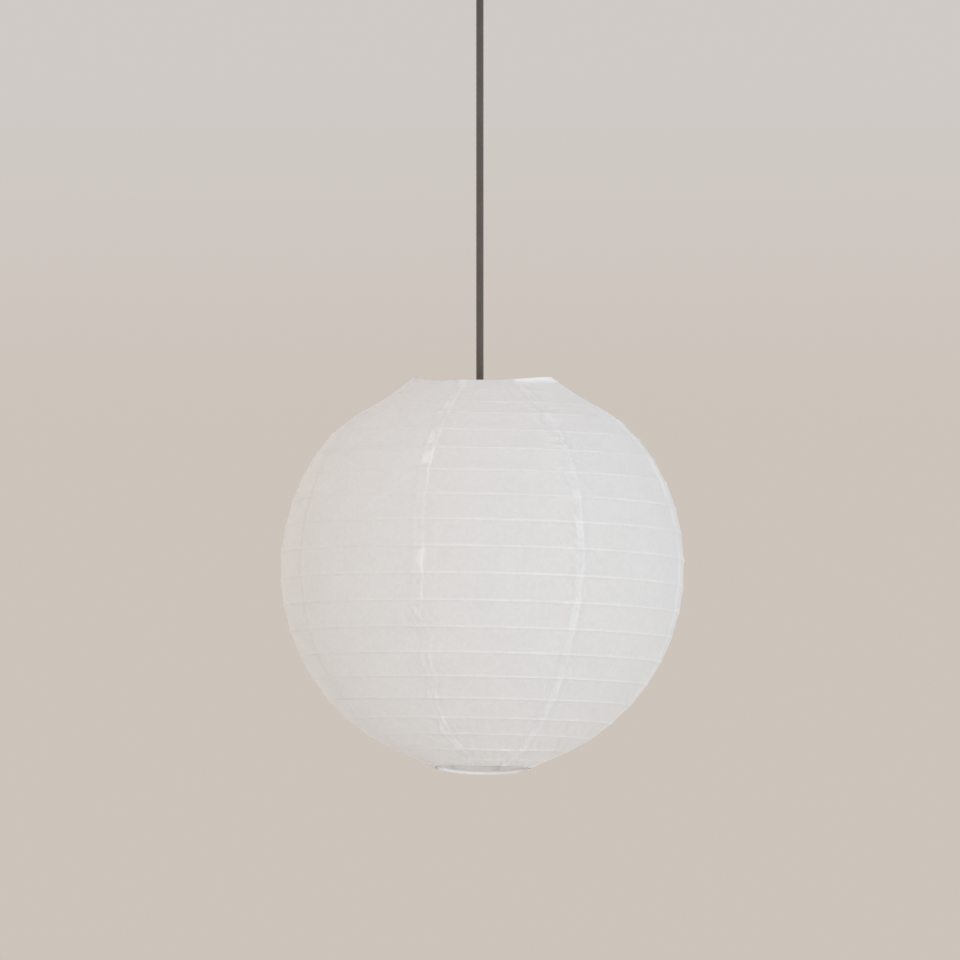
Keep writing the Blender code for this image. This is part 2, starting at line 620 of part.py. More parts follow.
def build_hoops(tilt):
    """Hoops just inside the paper, each on its own slide."""
    inset = PAPER_THICKNESS + GAP + HOOP_WIRE_RADIUS
    for row in range(1, HOOPS + 1):
        name = f"rib_hoop_{row:02d}"
        slide = empty(f"{name}_slide", point(0, 0, row_height(row)), tilt)
        hoop = wire(row_loop(row, inset), HOOP_WIRE_RADIUS, closed=True, round_steps=0)
        add(name, hoop, "cream_wire", slide)


# ---------------------------------------------------------------- build
def build():
    for obj in list(bpy.data.objects):
        bpy.data.objects.remove(obj, do_unlink=True)
    make_materials()

    ceiling = empty("ceiling_origin", ORIGIN)
    build_bracket(ceiling)
    build_hook(ceiling)
    build_terminal(ceiling)
    build_canopy(ceiling)

    swing = empty("hanger_swing_axis", point(0, 0, HOOK_LOW_Z), ceiling)
    build_grip(swing)
    twist = empty("cord_twist_axis", ORIGIN, swing)
    add("pendant_cord", cylinder(CORD_RADIUS, CORD_TOP_Z, CORD_END_Z, 16), "cord_grey", twist,
        ORIGIN)

    tilt = empty("lantern_tilt_axis", point(0, 0, TILT_Z), twist)
    build_lampholder(tilt)
    build_collar(tilt)
    build_bulb(tilt)
    build_expander(tilt)
    build_rings(tilt)
    build_gores(tilt)
    build_hoops(tilt)


build()
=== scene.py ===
"""A round paper lantern hung from a ceiling canopy, built around its CAD frame.

The origin is on the ceiling face, +Z is up and -Y is the front. Pieces are sized in millimetres and
stored in metres; stage, lights and camera are in metres. The paper sheets, hoops, wires, cord and
turned pieces are modelled here and replace their CAD nodes; the other CAD nodes get materials.
"""

import math
from types import SimpleNamespace
from typing import NamedTuple

import bmesh
import bpy
import numpy as np
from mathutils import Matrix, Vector


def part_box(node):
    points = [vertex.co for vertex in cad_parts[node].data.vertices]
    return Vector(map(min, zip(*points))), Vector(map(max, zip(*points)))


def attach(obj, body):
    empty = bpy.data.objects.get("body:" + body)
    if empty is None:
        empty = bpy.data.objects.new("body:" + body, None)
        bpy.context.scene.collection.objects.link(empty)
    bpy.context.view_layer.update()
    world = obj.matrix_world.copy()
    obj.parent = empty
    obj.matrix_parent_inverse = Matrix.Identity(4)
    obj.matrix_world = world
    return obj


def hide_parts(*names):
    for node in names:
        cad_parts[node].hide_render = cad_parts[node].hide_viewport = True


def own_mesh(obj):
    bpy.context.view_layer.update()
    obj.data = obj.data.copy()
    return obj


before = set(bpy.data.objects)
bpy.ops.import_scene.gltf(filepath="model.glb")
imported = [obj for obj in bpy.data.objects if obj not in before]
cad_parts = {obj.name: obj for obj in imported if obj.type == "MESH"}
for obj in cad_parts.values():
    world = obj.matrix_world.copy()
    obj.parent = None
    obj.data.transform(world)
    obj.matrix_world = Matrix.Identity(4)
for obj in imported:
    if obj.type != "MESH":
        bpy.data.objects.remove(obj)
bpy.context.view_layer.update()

MM = 0.001


# ------------------------------------------------------------------ numbers and noise
def cad_box_mm(node):
    low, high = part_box(node)
    return np.array(low) * 1000.0, np.array(high) * 1000.0


noise_tables = {}


def noise(x, y, seed):
    """Smooth value noise in 0..1, repeatable.

    In the calls, divisors set the size of a patch, added numbers pick a fresh part of the
    table, and the last number is the seed.
    """
    if seed not in noise_tables:
        noise_tables[seed] = np.random.RandomState(seed).rand(64, 64)
    table = noise_tables[seed]
    x, y = np.broadcast_arrays(np.asarray(x, float), np.asarray(y, float))
    left, low = np.floor(x).astype(int), np.floor(y).astype(int)
    x, y = x - left, y - low
    x, y = x * x * (3 - 2 * x), y * y * (3 - 2 * y)
    near = table[left % 64, low % 64] * (1 - x) + table[(left + 1) % 64, low % 64] * x
    far = table[left % 64, (low + 1) % 64] * (1 - x) + table[(left + 1) % 64, (low + 1) % 64] * x
    return near * (1 - y) + far * y


def swing(x, y, seed):
    """Noise centred on zero, -0.5..0.5."""
    return noise(x, y, seed) - 0.5


def smooth(start, end, x):
    """Eased step from 0 at start to 1 at end; end may be the smaller."""
    share = np.clip((x - start) / (end - start), 0.0, 1.0)
    return share * share * (3 - 2 * share)


def plateau(x, start, full, falling, gone):
    """Rises from start to full, stays at 1, and falls from falling to gone."""
    return smooth(start, full, x) * (1 - smooth(falling, gone, x))


def bell(x, width):
    return np.exp(-((x / width) ** 2))


def wrapped(degrees):
    """Angle brought into -180..180."""
    return (degrees + 180.0) % 360.0 - 180.0


def circle(count):
    return np.linspace(0, math.tau, count, endpoint=False)


# ------------------------------------------------------------------ mesh tools (millimetres)
def mesh_object(name, points, quads, material, attributes=None, tris=()):
    """A smooth-shaded mesh object from points, faces and point attributes."""
    mesh = bpy.data.meshes.new(name)
    quads = np.asarray(quads, np.int32).reshape(-1, 4)
    tris = np.asarray(tris, np.int32).reshape(-1, 3)
    loops = np.concatenate([quads.ravel(), tris.ravel()])
    sizes = np.repeat([4, 3], [len(quads), len(tris)])
    mesh.vertices.add(len(points))
    places = (np.asarray(points, np.float64) * MM).astype(np.float32)
    mesh.vertices.foreach_set("co", places.ravel())
    mesh.loops.add(len(loops))
    mesh.loops.foreach_set("vertex_index", loops)
    mesh.polygons.add(len(sizes))
    starts = np.concatenate([[0], np.cumsum(sizes)[:-1]]).astype(np.int32)
    mesh.polygons.foreach_set("loop_start", starts)
    mesh.update(calc_edges=True)
    mesh.validate()
    for key, values in (attributes or {}).items():
        layer = mesh.attributes.new(key, "FLOAT", "POINT")
        layer.data.foreach_set("value", np.asarray(values, np.float32).ravel())
    mesh.shade_smooth()
    mesh.materials.append(material)
    obj = bpy.data.objects.new(name, mesh)
    bpy.context.scene.collection.objects.link(obj)
    return obj


def grid_quads(rows, columns, wrap_rows=False, wrap_columns=False, offset=0, flip=False):
    """Quads of a rows x columns point grid stored row by row."""
    row, column = np.meshgrid(np.arange(rows if wrap_rows else rows - 1),
                              np.arange(columns if wrap_columns else columns - 1), indexing="ij")
    next_row, next_column = (row + 1) % rows, (column + 1) % columns
    quads = np.stack([row * columns + column, next_row * columns + column,
                      next_row * columns + next_column, row * columns + next_column], -1)
    quads = quads.reshape(-1, 4) + offset
    return quads[:, ::-1] if flip else quads


def grid_normals(grid):
    normal = np.cross(np.gradient(grid, axis=0), np.gradient(grid, axis=1))
    return normal / np.maximum(np.linalg.norm(normal, axis=2, keepdims=True), 1e-9)


def fix_normals(obj):
    mesh = bmesh.new()
    mesh.from_mesh(obj.data)
    bmesh.ops.recalc_face_normals(mesh, faces=mesh.faces)
    mesh.to_mesh(obj.data)
    mesh.free()
    return obj


def sharpen(obj, degrees):
    obj.data.set_sharp_from_angle(angle=math.radians(degrees))
    return obj


def shell(name, grid, thickness, material, attributes):
    """A closed thin sheet: the grid and a copy moved back along its normals, joined at the edge."""
    rows, columns = grid.shape[:2]
    copy = grid - grid_normals(grid) * thickness
    points = np.concatenate([grid.reshape(-1, 3), copy.reshape(-1, 3)])
    offset = rows * columns
    index = np.arange(offset).reshape(rows, columns)
    edge = np.concatenate([index[:, 0], index[-1, 1:], index[-2::-1, -1], index[0, -2:0:-1]])
    after = np.roll(edge, -1)
    quads = np.concatenate([
        grid_quads(rows, columns),
        grid_quads(rows, columns, offset=offset, flip=True),
        np.stack([after + offset, edge + offset, edge, after], -1),
    ])
    doubled = {key: np.tile(values.ravel(), 2) for key, values in attributes.items()}
    return sharpen(mesh_object(name, points, quads, material, doubled), 60)


def eased_corner(before, corner, after, reach, share, steps):
    """Points of a curve that cuts a corner, at most `reach` or `share` of a side away from it."""
    to_before, to_after = before - corner, after - corner
    length_before, length_after = np.linalg.norm(to_before), np.linalg.norm(to_after)
    cut = min(reach, share * length_before, share * length_after)
    if cut < 1e-3:
        return [corner]
    start = corner + to_before / length_before * cut
    end = corner + to_after / length_after * cut
    parts = [step / steps for step in range(steps + 1)]
    return [(1 - t) ** 2 * start + 2 * t * (1 - t) * corner + t * t * end for t in parts]


def split_runs(points, longest, closed):
    """The polyline with runs over `longest` split evenly."""
    out = []
    ends = points[1:] + points[:1] if closed else points[1:]
    for start, end in zip(points, ends):
        count = max(1, int(math.ceil(np.linalg.norm(end - start) / longest)))
        out += [start + (end - start) * i / count for i in range(count)]
    if not closed:
        out.append(points[-1])
    return np.array(out)


def rounded(outline, ease, steps):
    """Closed (radius, height) outline with eased corners; a third column gives a corner's ease."""
    corners = [np.array(point[:2], float) for point in outline]
    out = []
    for i, corner in enumerate(corners):
        reach = outline[i][2] if len(outline[i]) > 2 else ease
        after = corners[(i + 1) % len(corners)]
        out += eased_corner(corners[i - 1], corner, after, reach, 0.45, steps)
    return out


def spun_mesh(name, columns, first, last, material):
    """A skin from columns[around, along], closed by fans to a first and a last point."""
    around, along = columns.shape[:2]
    points = np.concatenate([columns.reshape(-1, 3), [first, last]])
    pole = around * along
    here = np.arange(around)
    after = (here + 1) % around
    tris = np.concatenate([
        np.stack([after * along, here * along, np.full(around, pole)], -1),
        np.stack([np.full(around, pole + 1), here * along + along - 1,
                  after * along + along - 1], -1),
    ])
    quads = grid_quads(around, along, True, False)
    return fix_normals(mesh_object(name, points, quads, material, tris=tris))


def turned(name, outline, material, segments=96, relief=None, ease=0.4, longest=None, steps=4):
    """Closed outline spun round the vertical. relief(radius, height, angle) gives new radii."""
    outline = rounded(outline, ease, steps)
    outline = split_runs(outline, longest, closed=True) if longest else np.array(outline)
    count = len(outline)
    on_axis = outline[:, 0] < 1e-6
    angle, radius = np.meshgrid(circle(segments), outline[:, 0], indexing="ij")
    height = np.repeat(outline[None, :, 1], segments, 0)
    if relief is not None:
        radius = relief(radius, height, angle)
    grid = np.stack([radius * np.cos(angle), radius * np.sin(angle), height], -1)
    if not on_axis.any():
        quads = grid_quads(segments, count, True, True)
        return fix_normals(mesh_object(name, grid.reshape(-1, 3), quads, material))
    # the run off the axis, between its two axis points
    kept = np.flatnonzero(~on_axis)
    gap = np.flatnonzero(np.diff(np.append(kept, kept[0] + count)) > 1)[0]
    order = np.roll(kept, -gap - 1)
    first = (0.0, 0.0, outline[(order[0] - 1) % count, 1])
    last = (0.0, 0.0, outline[(order[-1] + 1) % count, 1])
    return spun_mesh(name, grid[:, order], first, last, material)


def ring_tube(name, line, radius, material, sides):
    """A closed round wire along near-level points."""
    outward = line - line.mean(0)
    outward[:, 2] = 0
    outward /= np.linalg.norm(outward, axis=1, keepdims=True)
    angle = circle(sides)
    grid = (line[:, None, :] + (radius * np.cos(angle))[None, :, None] * outward[:, None, :]
            + (radius * np.sin(angle))[None, :, None] * np.array([0, 0, 1.0]))
    quads = grid_quads(len(line), sides, True, True)
    return fix_normals(mesh_object(name, grid.reshape(-1, 3), quads, material))


def capped_tube(name, rings, material, attributes=None):
    """A skin from rings[along, around], closed by a fan to the middle of each end ring."""
    along, around = rings.shape[:2]
    points = np.concatenate([rings.reshape(-1, 3), [rings[0].mean(0), rings[-1].mean(0)]])
    pole = along * around
    here = np.arange(around)
    after = (here + 1) % around
    last = (along - 1) * around
    tris = np.concatenate([
        np.stack([np.full(around, pole), here, after], -1),
        np.stack([np.full(around, pole + 1), last + after, last + here], -1),
    ])
    quads = grid_quads(along, around, False, True)
    return fix_normals(mesh_object(name, points, quads, material, attributes, tris))


def bent_path(points, bend, longest):
    corners = [np.array(point, float) for point in points]
    out = [corners[0]]
    for before, corner, after in zip(corners, corners[1:], corners[2:]):
        out += eased_corner(before, corner, after, bend, 0.48, 7)
    out.append(corners[-1])
    return split_runs(out, longest, closed=False)


END_EASE = ((0.0, 0.55), (0.12, 0.80), (0.35, 1.0))     # distance in and size, in wire radii


def bar(name, points, radius, material, sides=12, bend=2.5, longest=4.0):
    """A bent round wire with eased ends."""
    line = bent_path(points, bend, longest)
    along = np.gradient(line, axis=0)
    along /= np.linalg.norm(along, axis=1, keepdims=True)
    start = np.array([0.0, 1.0, 0.0]) if abs(along[0][1]) < 0.9 else np.array([1.0, 0.0, 0.0])
    side = np.cross(along[0], start)
    frames = []
    for direction in along:
        side = side - direction * np.dot(side, direction)
        side /= np.linalg.norm(side)
        frames.append((side, np.cross(direction, side)))
    stations = [(line[0] + along[0] * shift * radius, frames[0], size)
                for shift, size in END_EASE]
    stations += [(centre, axes, 1.0) for centre, axes in zip(line[1:-1], frames[1:-1])]
    stations += [(line[-1] - along[-1] * shift * radius, frames[-1], size)
                 for shift, size in END_EASE[::-1]]
    angle = circle(sides)
    rings = [centre + (radius * size * np.cos(angle))[:, None] * axes[0]
             + (radius * size * np.sin(angle))[:, None] * axes[1]
             for centre, axes, size in stations]
    return capped_tube(name, np.array(rings), material)


def part(obj, body, node=None):
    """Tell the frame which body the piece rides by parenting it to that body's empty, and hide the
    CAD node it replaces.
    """
    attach(obj, body)
    if node:
        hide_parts(node)
    return obj


# ------------------------------------------------------------------ materials
class ShaderNodes:
    """Short calls for building a node tree; inputs take numbers, tuples or output sockets."""

    def __init__(self, tree):
        self.tree = tree

    def add(self, kind, **settings):
        node = self.tree.nodes.new(kind)
        for key, value in settings.items():
            setattr(node, key, value)
        return node

    def put(self, value, socket):
        if isinstance(value, (int, float)):
            socket.default_value = value
        elif isinstance(value, tuple):
            socket.default_value = (*value, 1.0)[:len(socket.default_value)]
        else:
            self.tree.links.new(value, socket)

    def coords(self, scale=(1, 1, 1)):
        mapping = self.add("ShaderNodeMapping")
        self.put(scale, mapping.inputs["Scale"])
        place = self.add("ShaderNodeTexCoord")
        self.put(place.outputs["Object"], mapping.inputs["Vector"])
        return mapping.outputs["Vector"]

    def noise(self, vector, scale, detail=4.0, rough=0.55):
        node = self.add("ShaderNodeTexNoise")
        self.put(vector, node.inputs["Vector"])
        self.put(scale, node.inputs["Scale"])
        self.put(detail, node.inputs["Detail"])
        self.put(rough, node.inputs["Roughness"])
        return node.outputs["Fac"]

    def ramp(self, value, stops):
        """Colour ramp; each stop is (position, colour)."""
        node = self.add("ShaderNodeValToRGB")
        elements = node.color_ramp.elements
        while len(elements) < len(stops):
            elements.new(0.5)
        for element, (position, colour) in zip(elements, stops):
            element.position = position
            element.color = (*colour, 1.0)
        self.put(value, node.inputs["Fac"])
        return node.outputs["Color"]

    def math(self, operation, *values, clamp=False):
        node = self.add("ShaderNodeMath", operation=operation, use_clamp=clamp)
        for value, socket in zip(values, node.inputs):
            self.put(value, socket)
        return node.outputs[0]

    def spread(self, value, low, high):
        """0..1 stretched to low..high."""
        return self.math("MULTIPLY_ADD", value, high - low, low)

    def less(self, amount, clamp=False):
        return self.math("SUBTRACT", 1.0, amount, clamp=clamp)

    def mix(self, under, over, share, blend="MIX"):
        node = self.add("ShaderNodeMix", data_type="RGBA", blend_type=blend)
        for index, value in ((0, share), (6, under), (7, over)):
            self.put(value, node.inputs[index])
        return node.outputs[2]

    def mix_shader(self, under, over, share):
        node = self.add("ShaderNodeMixShader")
        for index, value in enumerate((share, under, over)):
            self.put(value, node.inputs[index])
        return node.outputs[0]

    def attribute(self, name):
        return self.add("ShaderNodeAttribute", attribute_name=name).outputs["Fac"]

    def bump(self, height, strength, distance, normal=None):
        node = self.add("ShaderNodeBump")
        self.put(strength, node.inputs["Strength"])
        self.put(distance, node.inputs["Distance"])
        self.put(height, node.inputs["Height"])
        if normal is not None:
            self.put(normal, node.inputs["Normal"])
        return node.outputs["Normal"]

    def edge(self, radius):
        """Grows at edges, where the bevelled normal turns away from the true one."""
        bevel = self.add("ShaderNodeBevel", samples=4)
        self.put(radius, bevel.inputs["Radius"])
        geometry = self.add("ShaderNodeNewGeometry")
        dot = self.add("ShaderNodeVectorMath", operation="DOT_PRODUCT")
        self.put(bevel.outputs["Normal"], dot.inputs[0])
        self.put(geometry.outputs["Normal"], dot.inputs[1])
        return self.less(dot.outputs["Value"], clamp=True)


class Material(ShaderNodes):
    def __init__(self, name):
        self.data = bpy.data.materials.new(name)
        self.data.use_nodes = True
        super().__init__(self.data.node_tree)
        self.bsdf = self.tree.nodes["Principled BSDF"]

    def surface(self, values):
        """Set or link inputs of the principled shader."""
        for key, value in values.items():
            self.put(value, self.bsdf.inputs[key])

    def output(self, shader):
        self.put(shader, self.tree.nodes["Material Output"].inputs["Surface"])


def paper_material():
    """White paper that lets light through, lighter on laps, with painted highlights on hoops, creases
    and lit rolls and painted shade below hoops and in creases.
    """
    mat = Material("lantern_paper")
    place = mat.coords()
    cloud = mat.noise(place, scale=38.0, detail=3.0, rough=0.6)         # slow unevenness of pulp
    mottle = mat.noise(place, scale=260.0, detail=4.0, rough=0.65)      # flocks of fibre
    upright = mat.coords(scale=(1.0, 1.0, 0.22))
    fibre = mat.noise(upright, scale=900.0, detail=3.0, rough=0.6)      # longer up and down
    base = mat.ramp(cloud, stops=[(0.30, (0.875, 0.870, 0.862)), (0.70, (0.910, 0.906, 0.900))])
    flocks = mat.ramp(mottle, stops=[(0.36, (0.835, 0.828, 0.818)), (0.64, (0.945, 0.942, 0.938))])
    base = mat.mix(base, flocks, share=0.35)
    fibres = mat.ramp(fibre, stops=[(0.40, (0.78, 0.77, 0.755)), (0.66, (0.955, 0.953, 0.95))])
    base = mat.mix(base, fibres, share=0.16)
    lap_and_highlight, painted_highlight = mat.attribute("lap_and_highlight"), mat.attribute("painted_highlight")
    lap_and_highlight_share = mat.math("MULTIPLY", lap_and_highlight, 0.40)
    base = mat.mix(base, (0.968, 0.958, 0.942), share=lap_and_highlight_share)
    # painted highlight: a near-white mixed in on hoop crowns, crease tops, pulls and the lit rolls
    highlight_share = mat.math("MULTIPLY", painted_highlight, 0.45, clamp=True)
    base = mat.mix(base, (0.965, 0.962, 0.955), share=highlight_share)
    # painted shade: a dark grey mixed in below hoop crowns, in crease valleys and beside laps
    shade_share = mat.math("MULTIPLY", mat.attribute("painted_shade"), 0.14, clamp=True)
    base = mat.mix(base, (0.56, 0.55, 0.53), share=shade_share)
    normal = mat.bump(mottle, strength=0.20, distance=0.0006)
    normal = mat.bump(fibre, strength=0.22, distance=0.00025, normal=normal)
    mat.surface({
        "Base Color": base, "Roughness": 0.82, "Specular IOR Level": 0.22,
        "Sheen Weight": 0.12, "Sheen Roughness": 0.6, "Normal": normal,
    })
    thin = mat.add("ShaderNodeBsdfTranslucent")
    mat.put(mat.mix(base, (0.95, 0.92, 0.885), share=0.5), thin.inputs["Color"])
    mat.put(normal, thin.inputs["Normal"])
    # share of light let through, less at laps and under the painted highlights
    through = mat.spread(mottle, low=0.40, high=0.50)
    through = mat.math("MULTIPLY", through, mat.less(mat.math("MULTIPLY", lap_and_highlight, 0.30)))
    highlight_block = mat.less(mat.math("MULTIPLY", painted_highlight, 0.42), clamp=True)
    through = mat.math("MULTIPLY", through, highlight_block)
    # light already inside the sheet leaves it almost freely
    inside = mat.add("ShaderNodeNewGeometry").outputs["Backfacing"]
    through = mat.math("MAXIMUM", through, mat.math("MULTIPLY", inside, 0.92))
    mat.output(mat.mix_shader(mat.bsdf.outputs[0], thin.outputs[0], share=through))
    return mat.data


def metal_material(name, dark, light, rough, scale=350.0, metallic=1.0):
    """Clouded wire or sheet with fine grain, brighter at the edges; rough is its range."""
    mat = Material(name)
    place = mat.coords()
    cloud = mat.noise(place, scale=scale * 0.12)
    grain = mat.noise(place, scale=scale * 4, detail=3.0, rough=0.7)
    colour = mat.ramp(cloud, stops=[(0.32, dark), (0.68, light)])
    bright = tuple(min(1.0, channel * 1.18) for channel in light)
    # mixed lighter towards the edges
    edge_share = mat.math("MULTIPLY", mat.edge(radius=0.0005), 0.5)
    mat.surface({
        "Base Color": mat.mix(colour, bright, share=edge_share),
        "Metallic": metallic,
        "Roughness": mat.spread(grain, *rough),
        "Normal": mat.bump(grain, strength=0.12, distance=0.00008),
    })
    return mat.data


def plastic_material(name, low, high, rough=(0.28, 0.42), grain_scale=1800.0, inner_glow=0.0,
                     specular=0.5):
    """Moulded or coated surface, clouded between two colours and lighter at the edges."""
    mat = Material(name)
    place = mat.coords()
    cloud = mat.noise(place, scale=60.0, detail=3.0)
    grain = mat.noise(place, scale=grain_scale, detail=3.0, rough=0.6)
    colour = mat.ramp(cloud, stops=[(0.3, low), (0.7, high)])
    bright = tuple(min(1.0, channel * 1.1 + 0.02) for channel in high)
    # mixed lighter towards the edges
    edge_share = mat.math("MULTIPLY", mat.edge(radius=0.0006), 0.6)
    mat.surface({
        "Base Color": mat.mix(colour, bright, share=edge_share),
        "Roughness": mat.spread(cloud, *rough),
        "Specular IOR Level": specular,
        "Normal": mat.bump(grain, strength=0.10, distance=0.00006),
    })
    if inner_glow:
        mat.surface({
            "Subsurface Weight": inner_glow,
            "Subsurface Radius": (0.003, 0.003, 0.002),
            "Subsurface Scale": 0.5,
        })
    return mat.data


def cord_material():
    """Dark braided textile, with painted shade in the hollows between yarns and lighter on the yarn
    crowns.
    """
    mat = Material("cord_textile")
    place = mat.coords()
    yarn = mat.noise(place, scale=2600.0, detail=3.0, rough=0.7)
    cloud = mat.noise(place, scale=45.0, detail=2.0)
    # painted shade: nearly black where the braid dips between yarns
    colour = mat.ramp(mat.attribute("pile"), stops=[
        (0.0, (0.035, 0.027, 0.022)), (0.55, (0.089, 0.072, 0.060)), (1.0, (0.134, 0.112, 0.096))])
    yarns = mat.ramp(yarn, stops=[(0.35, (0.048, 0.038, 0.031)), (0.68, (0.165, 0.143, 0.125))])
    colour = mat.mix(colour, yarns, share=0.35)
    clouds = mat.ramp(cloud, stops=[(0.3, (0.075, 0.062, 0.053)), (0.7, (0.118, 0.103, 0.091))])
    mat.surface({
        "Base Color": mat.mix(colour, clouds, share=0.25),
        "Roughness": 0.78, "Sheen Weight": 0.35, "Sheen Roughness": 0.45,
        "Specular IOR Level": 0.25,
        "Normal": mat.bump(yarn, strength=0.35, distance=0.00012),
    })
    return mat.data


def glass_material():
    mat = Material("bulb_frosted_glass")
    place = mat.coords()
    cloud = mat.noise(place, scale=90.0, detail=3.0)
    grain = mat.noise(place, scale=2200.0, detail=2.0)
    mat.surface({
        "Base Color": mat.ramp(cloud, stops=[(0.3, (0.86, 0.86, 0.85)), (0.7, (0.91, 0.91, 0.90))]),
        "Roughness": mat.spread(cloud, low=0.2, high=0.28),
        "Subsurface Weight": 0.5, "Subsurface Radius": (0.006, 0.006, 0.006),
        "Coat Weight": 0.3, "Coat Roughness": 0.08,
        "Normal": mat.bump(grain, strength=0.05, distance=0.00005),
    })
    return mat.data


MAT_PAPER = paper_material()
MAT_RIB = metal_material("rib_wire_cream", dark=(0.72, 0.68, 0.60), light=(0.84, 0.81, 0.74),
                         rough=(0.45, 0.65), metallic=0.0)
MAT_ZINC = metal_material("zinc_wire_bright", dark=(0.55, 0.55, 0.54), light=(0.70, 0.70, 0.69),
                          rough=(0.22, 0.42))
MAT_GALV = metal_material("galvanised_strip", dark=(0.42, 0.43, 0.44), light=(0.62, 0.63, 0.64),
                          rough=(0.32, 0.55), scale=420.0)
MAT_BRASS = metal_material("contact_brass", dark=(0.58, 0.42, 0.17), light=(0.78, 0.61, 0.30),
                           rough=(0.20, 0.40))
MAT_NICKEL = metal_material("bulb_cap_nickel", dark=(0.56, 0.55, 0.53), light=(0.72, 0.71, 0.69),
                            rough=(0.18, 0.34))
MAT_CORD = cord_material()
MAT_PLASTIC = plastic_material("holder_plastic_white", low=(0.71, 0.70, 0.67),
                               high=(0.77, 0.76, 0.73), inner_glow=0.15)
MAT_CERAMIC = plastic_material("insulator_glazed", low=(0.66, 0.62, 0.54),
                               high=(0.74, 0.70, 0.62), rough=(0.12, 0.25))
MAT_CANOPY = plastic_material("canopy_powder_coat", low=(0.088, 0.077, 0.069),
                              high=(0.118, 0.104, 0.095), rough=(0.38, 0.5),
                              grain_scale=1400.0, specular=0.4)
MAT_NYLON = plastic_material("nylon_natural", low=(0.66, 0.63, 0.56), high=(0.75, 0.72, 0.66),
                             rough=(0.38, 0.5), inner_glow=0.2)
MAT_TERMINAL = plastic_material("terminal_translucent", low=(0.72, 0.72, 0.70),
                                high=(0.80, 0.80, 0.78), rough=(0.2, 0.3), inner_glow=0.4)
MAT_BROWN = plastic_material("core_brown_pvc", low=(0.13, 0.055, 0.025),
                             high=(0.19, 0.085, 0.042), rough=(0.3, 0.42))
MAT_BLUE = plastic_material("core_blue_pvc", low=(0.03, 0.09, 0.28), high=(0.05, 0.13, 0.38),
                            rough=(0.3, 0.42))
MAT_BLACK = plastic_material("vitrite_black", low=(0.010, 0.010, 0.012),
                             high=(0.022, 0.022, 0.024), rough=(0.08, 0.18))
MAT_GLASS = glass_material()

# ------------------------------------------------------------------ the shade's rows
# Rows run down: 0 is the rim's ring wire, 1..HOOPS the hoops, FOOT the foot's ring wire.
# Azimuth is in degrees from the front, growing to the right.
SHADE_R = 175.0
HOOPS = 19
FOOT = HOOPS + 1
TOP_LAT, BOTTOM_LAT = 69.35, -75.8      # degrees
STEP_UP, STEP_LOW = 7.35, 7.45          # degrees between hoops, above and below MIDDLE_ROW
MIDDLE_ROW = 9
TOP_RING_R = 59.8
BOTTOM_RING_R = 41.2
RING_WIRE_R = 1.2
RING_R = {0: TOP_RING_R, FOOT: BOTTOM_RING_R}
HEM_R = 1.75                            # paper rolled over a ring wire
PAPER_T = 0.15
SHADE_X, SHADE_LEAN = 2.3, 4.2          # whole shade to the right, and more so towards the top
# turn on the rolled hem where the gores end, in degrees up from straight outwards
RIM_LAP_ANGLE, FOOT_LAP_ANGLE = 57, -73

# how each row hangs away from the sphere; rows left out take a default
ROW_SAG = {0: -2.2, 1: -5.2, 2: -3.95, 3: -0.85, 4: -0.25, 5: 1.0, 6: 1.0, 7: 0.8, 8: 0.5, 9: 0.2,
           18: -0.8, 19: -0.8, 20: -1.9}        # mm up
ROW_SADDLE = {0: 3.6, 1: 1.2, 2: 1.65, 3: 1.55, 4: 1.75, 5: 1.2, 6: 1.0, 7: 0.8, 8: 0.5, 9: 0.2,
              18: 1.2, 19: 1.2, 20: 0.9}        # mm: front and back down, sides up
ROW_SLOPE = {0: 0.3, 1: 0.6, 19: 1.0, 20: 0.9}              # degrees, right side down
ROW_PITCH = {17: 0.4, 18: 0.8, 19: 1.6, 20: 4.4}            # degrees, front up
ROW_SHIFT = {0: 2.5, 1: 4.4, 17: -0.6, 18: -0.2, 19: 0.6, 20: 2.3}     # mm to the right
# where a wire gives locally: azimuth, spread in degrees, height change, reach change
ROW_GIVE = {0: (-50.0, 24.0, -2.6, 0.0), 2: (-90.0, 45.0, 0.0, -3.4), 3: (-90.0, 45.0, 0.0, -2.8)}


def per_row(given, default=0.0):
    return np.array([given.get(row, default) for row in range(HOOPS + 2)])


hoop_rows = np.arange(FOOT)
LAT = np.append(TOP_LAT - STEP_UP * np.minimum(hoop_rows, MIDDLE_ROW)
                - STEP_LOW * np.maximum(hoop_rows - MIDDLE_ROW, 0), BOTTOM_LAT)
SADDLE = per_row(ROW_SADDLE)
SLOPE = np.tan(np.radians(per_row(ROW_SLOPE, 1.1)))
PITCH = np.tan(np.radians(per_row(ROW_PITCH)))
SHIFT = SHADE_X + SHADE_LEAN * np.sin(np.radians(LAT))
SHIFT[list(ROW_SHIFT)] = list(ROW_SHIFT.values())

# a CAD hoop near the widest part fixes the sphere's height
GUIDE_ROW, GUIDE_INSET = 10, 1.35
guide_low, guide_high = cad_box_mm(f"rib_hoop_{GUIDE_ROW}")
CENTRE_Z = (0.5 * (guide_low[2] + guide_high[2])
            - (SHADE_R - GUIDE_INSET) * math.sin(math.radians(LAT[GUIDE_ROW])))
ROW_Z = CENTRE_Z + SHADE_R * np.sin(np.radians(LAT)) + per_row(ROW_SAG)


def latitude(row):
    """Latitude at a row position, which may lie between rows."""
    return np.interp(row, np.arange(HOOPS + 2), LAT)


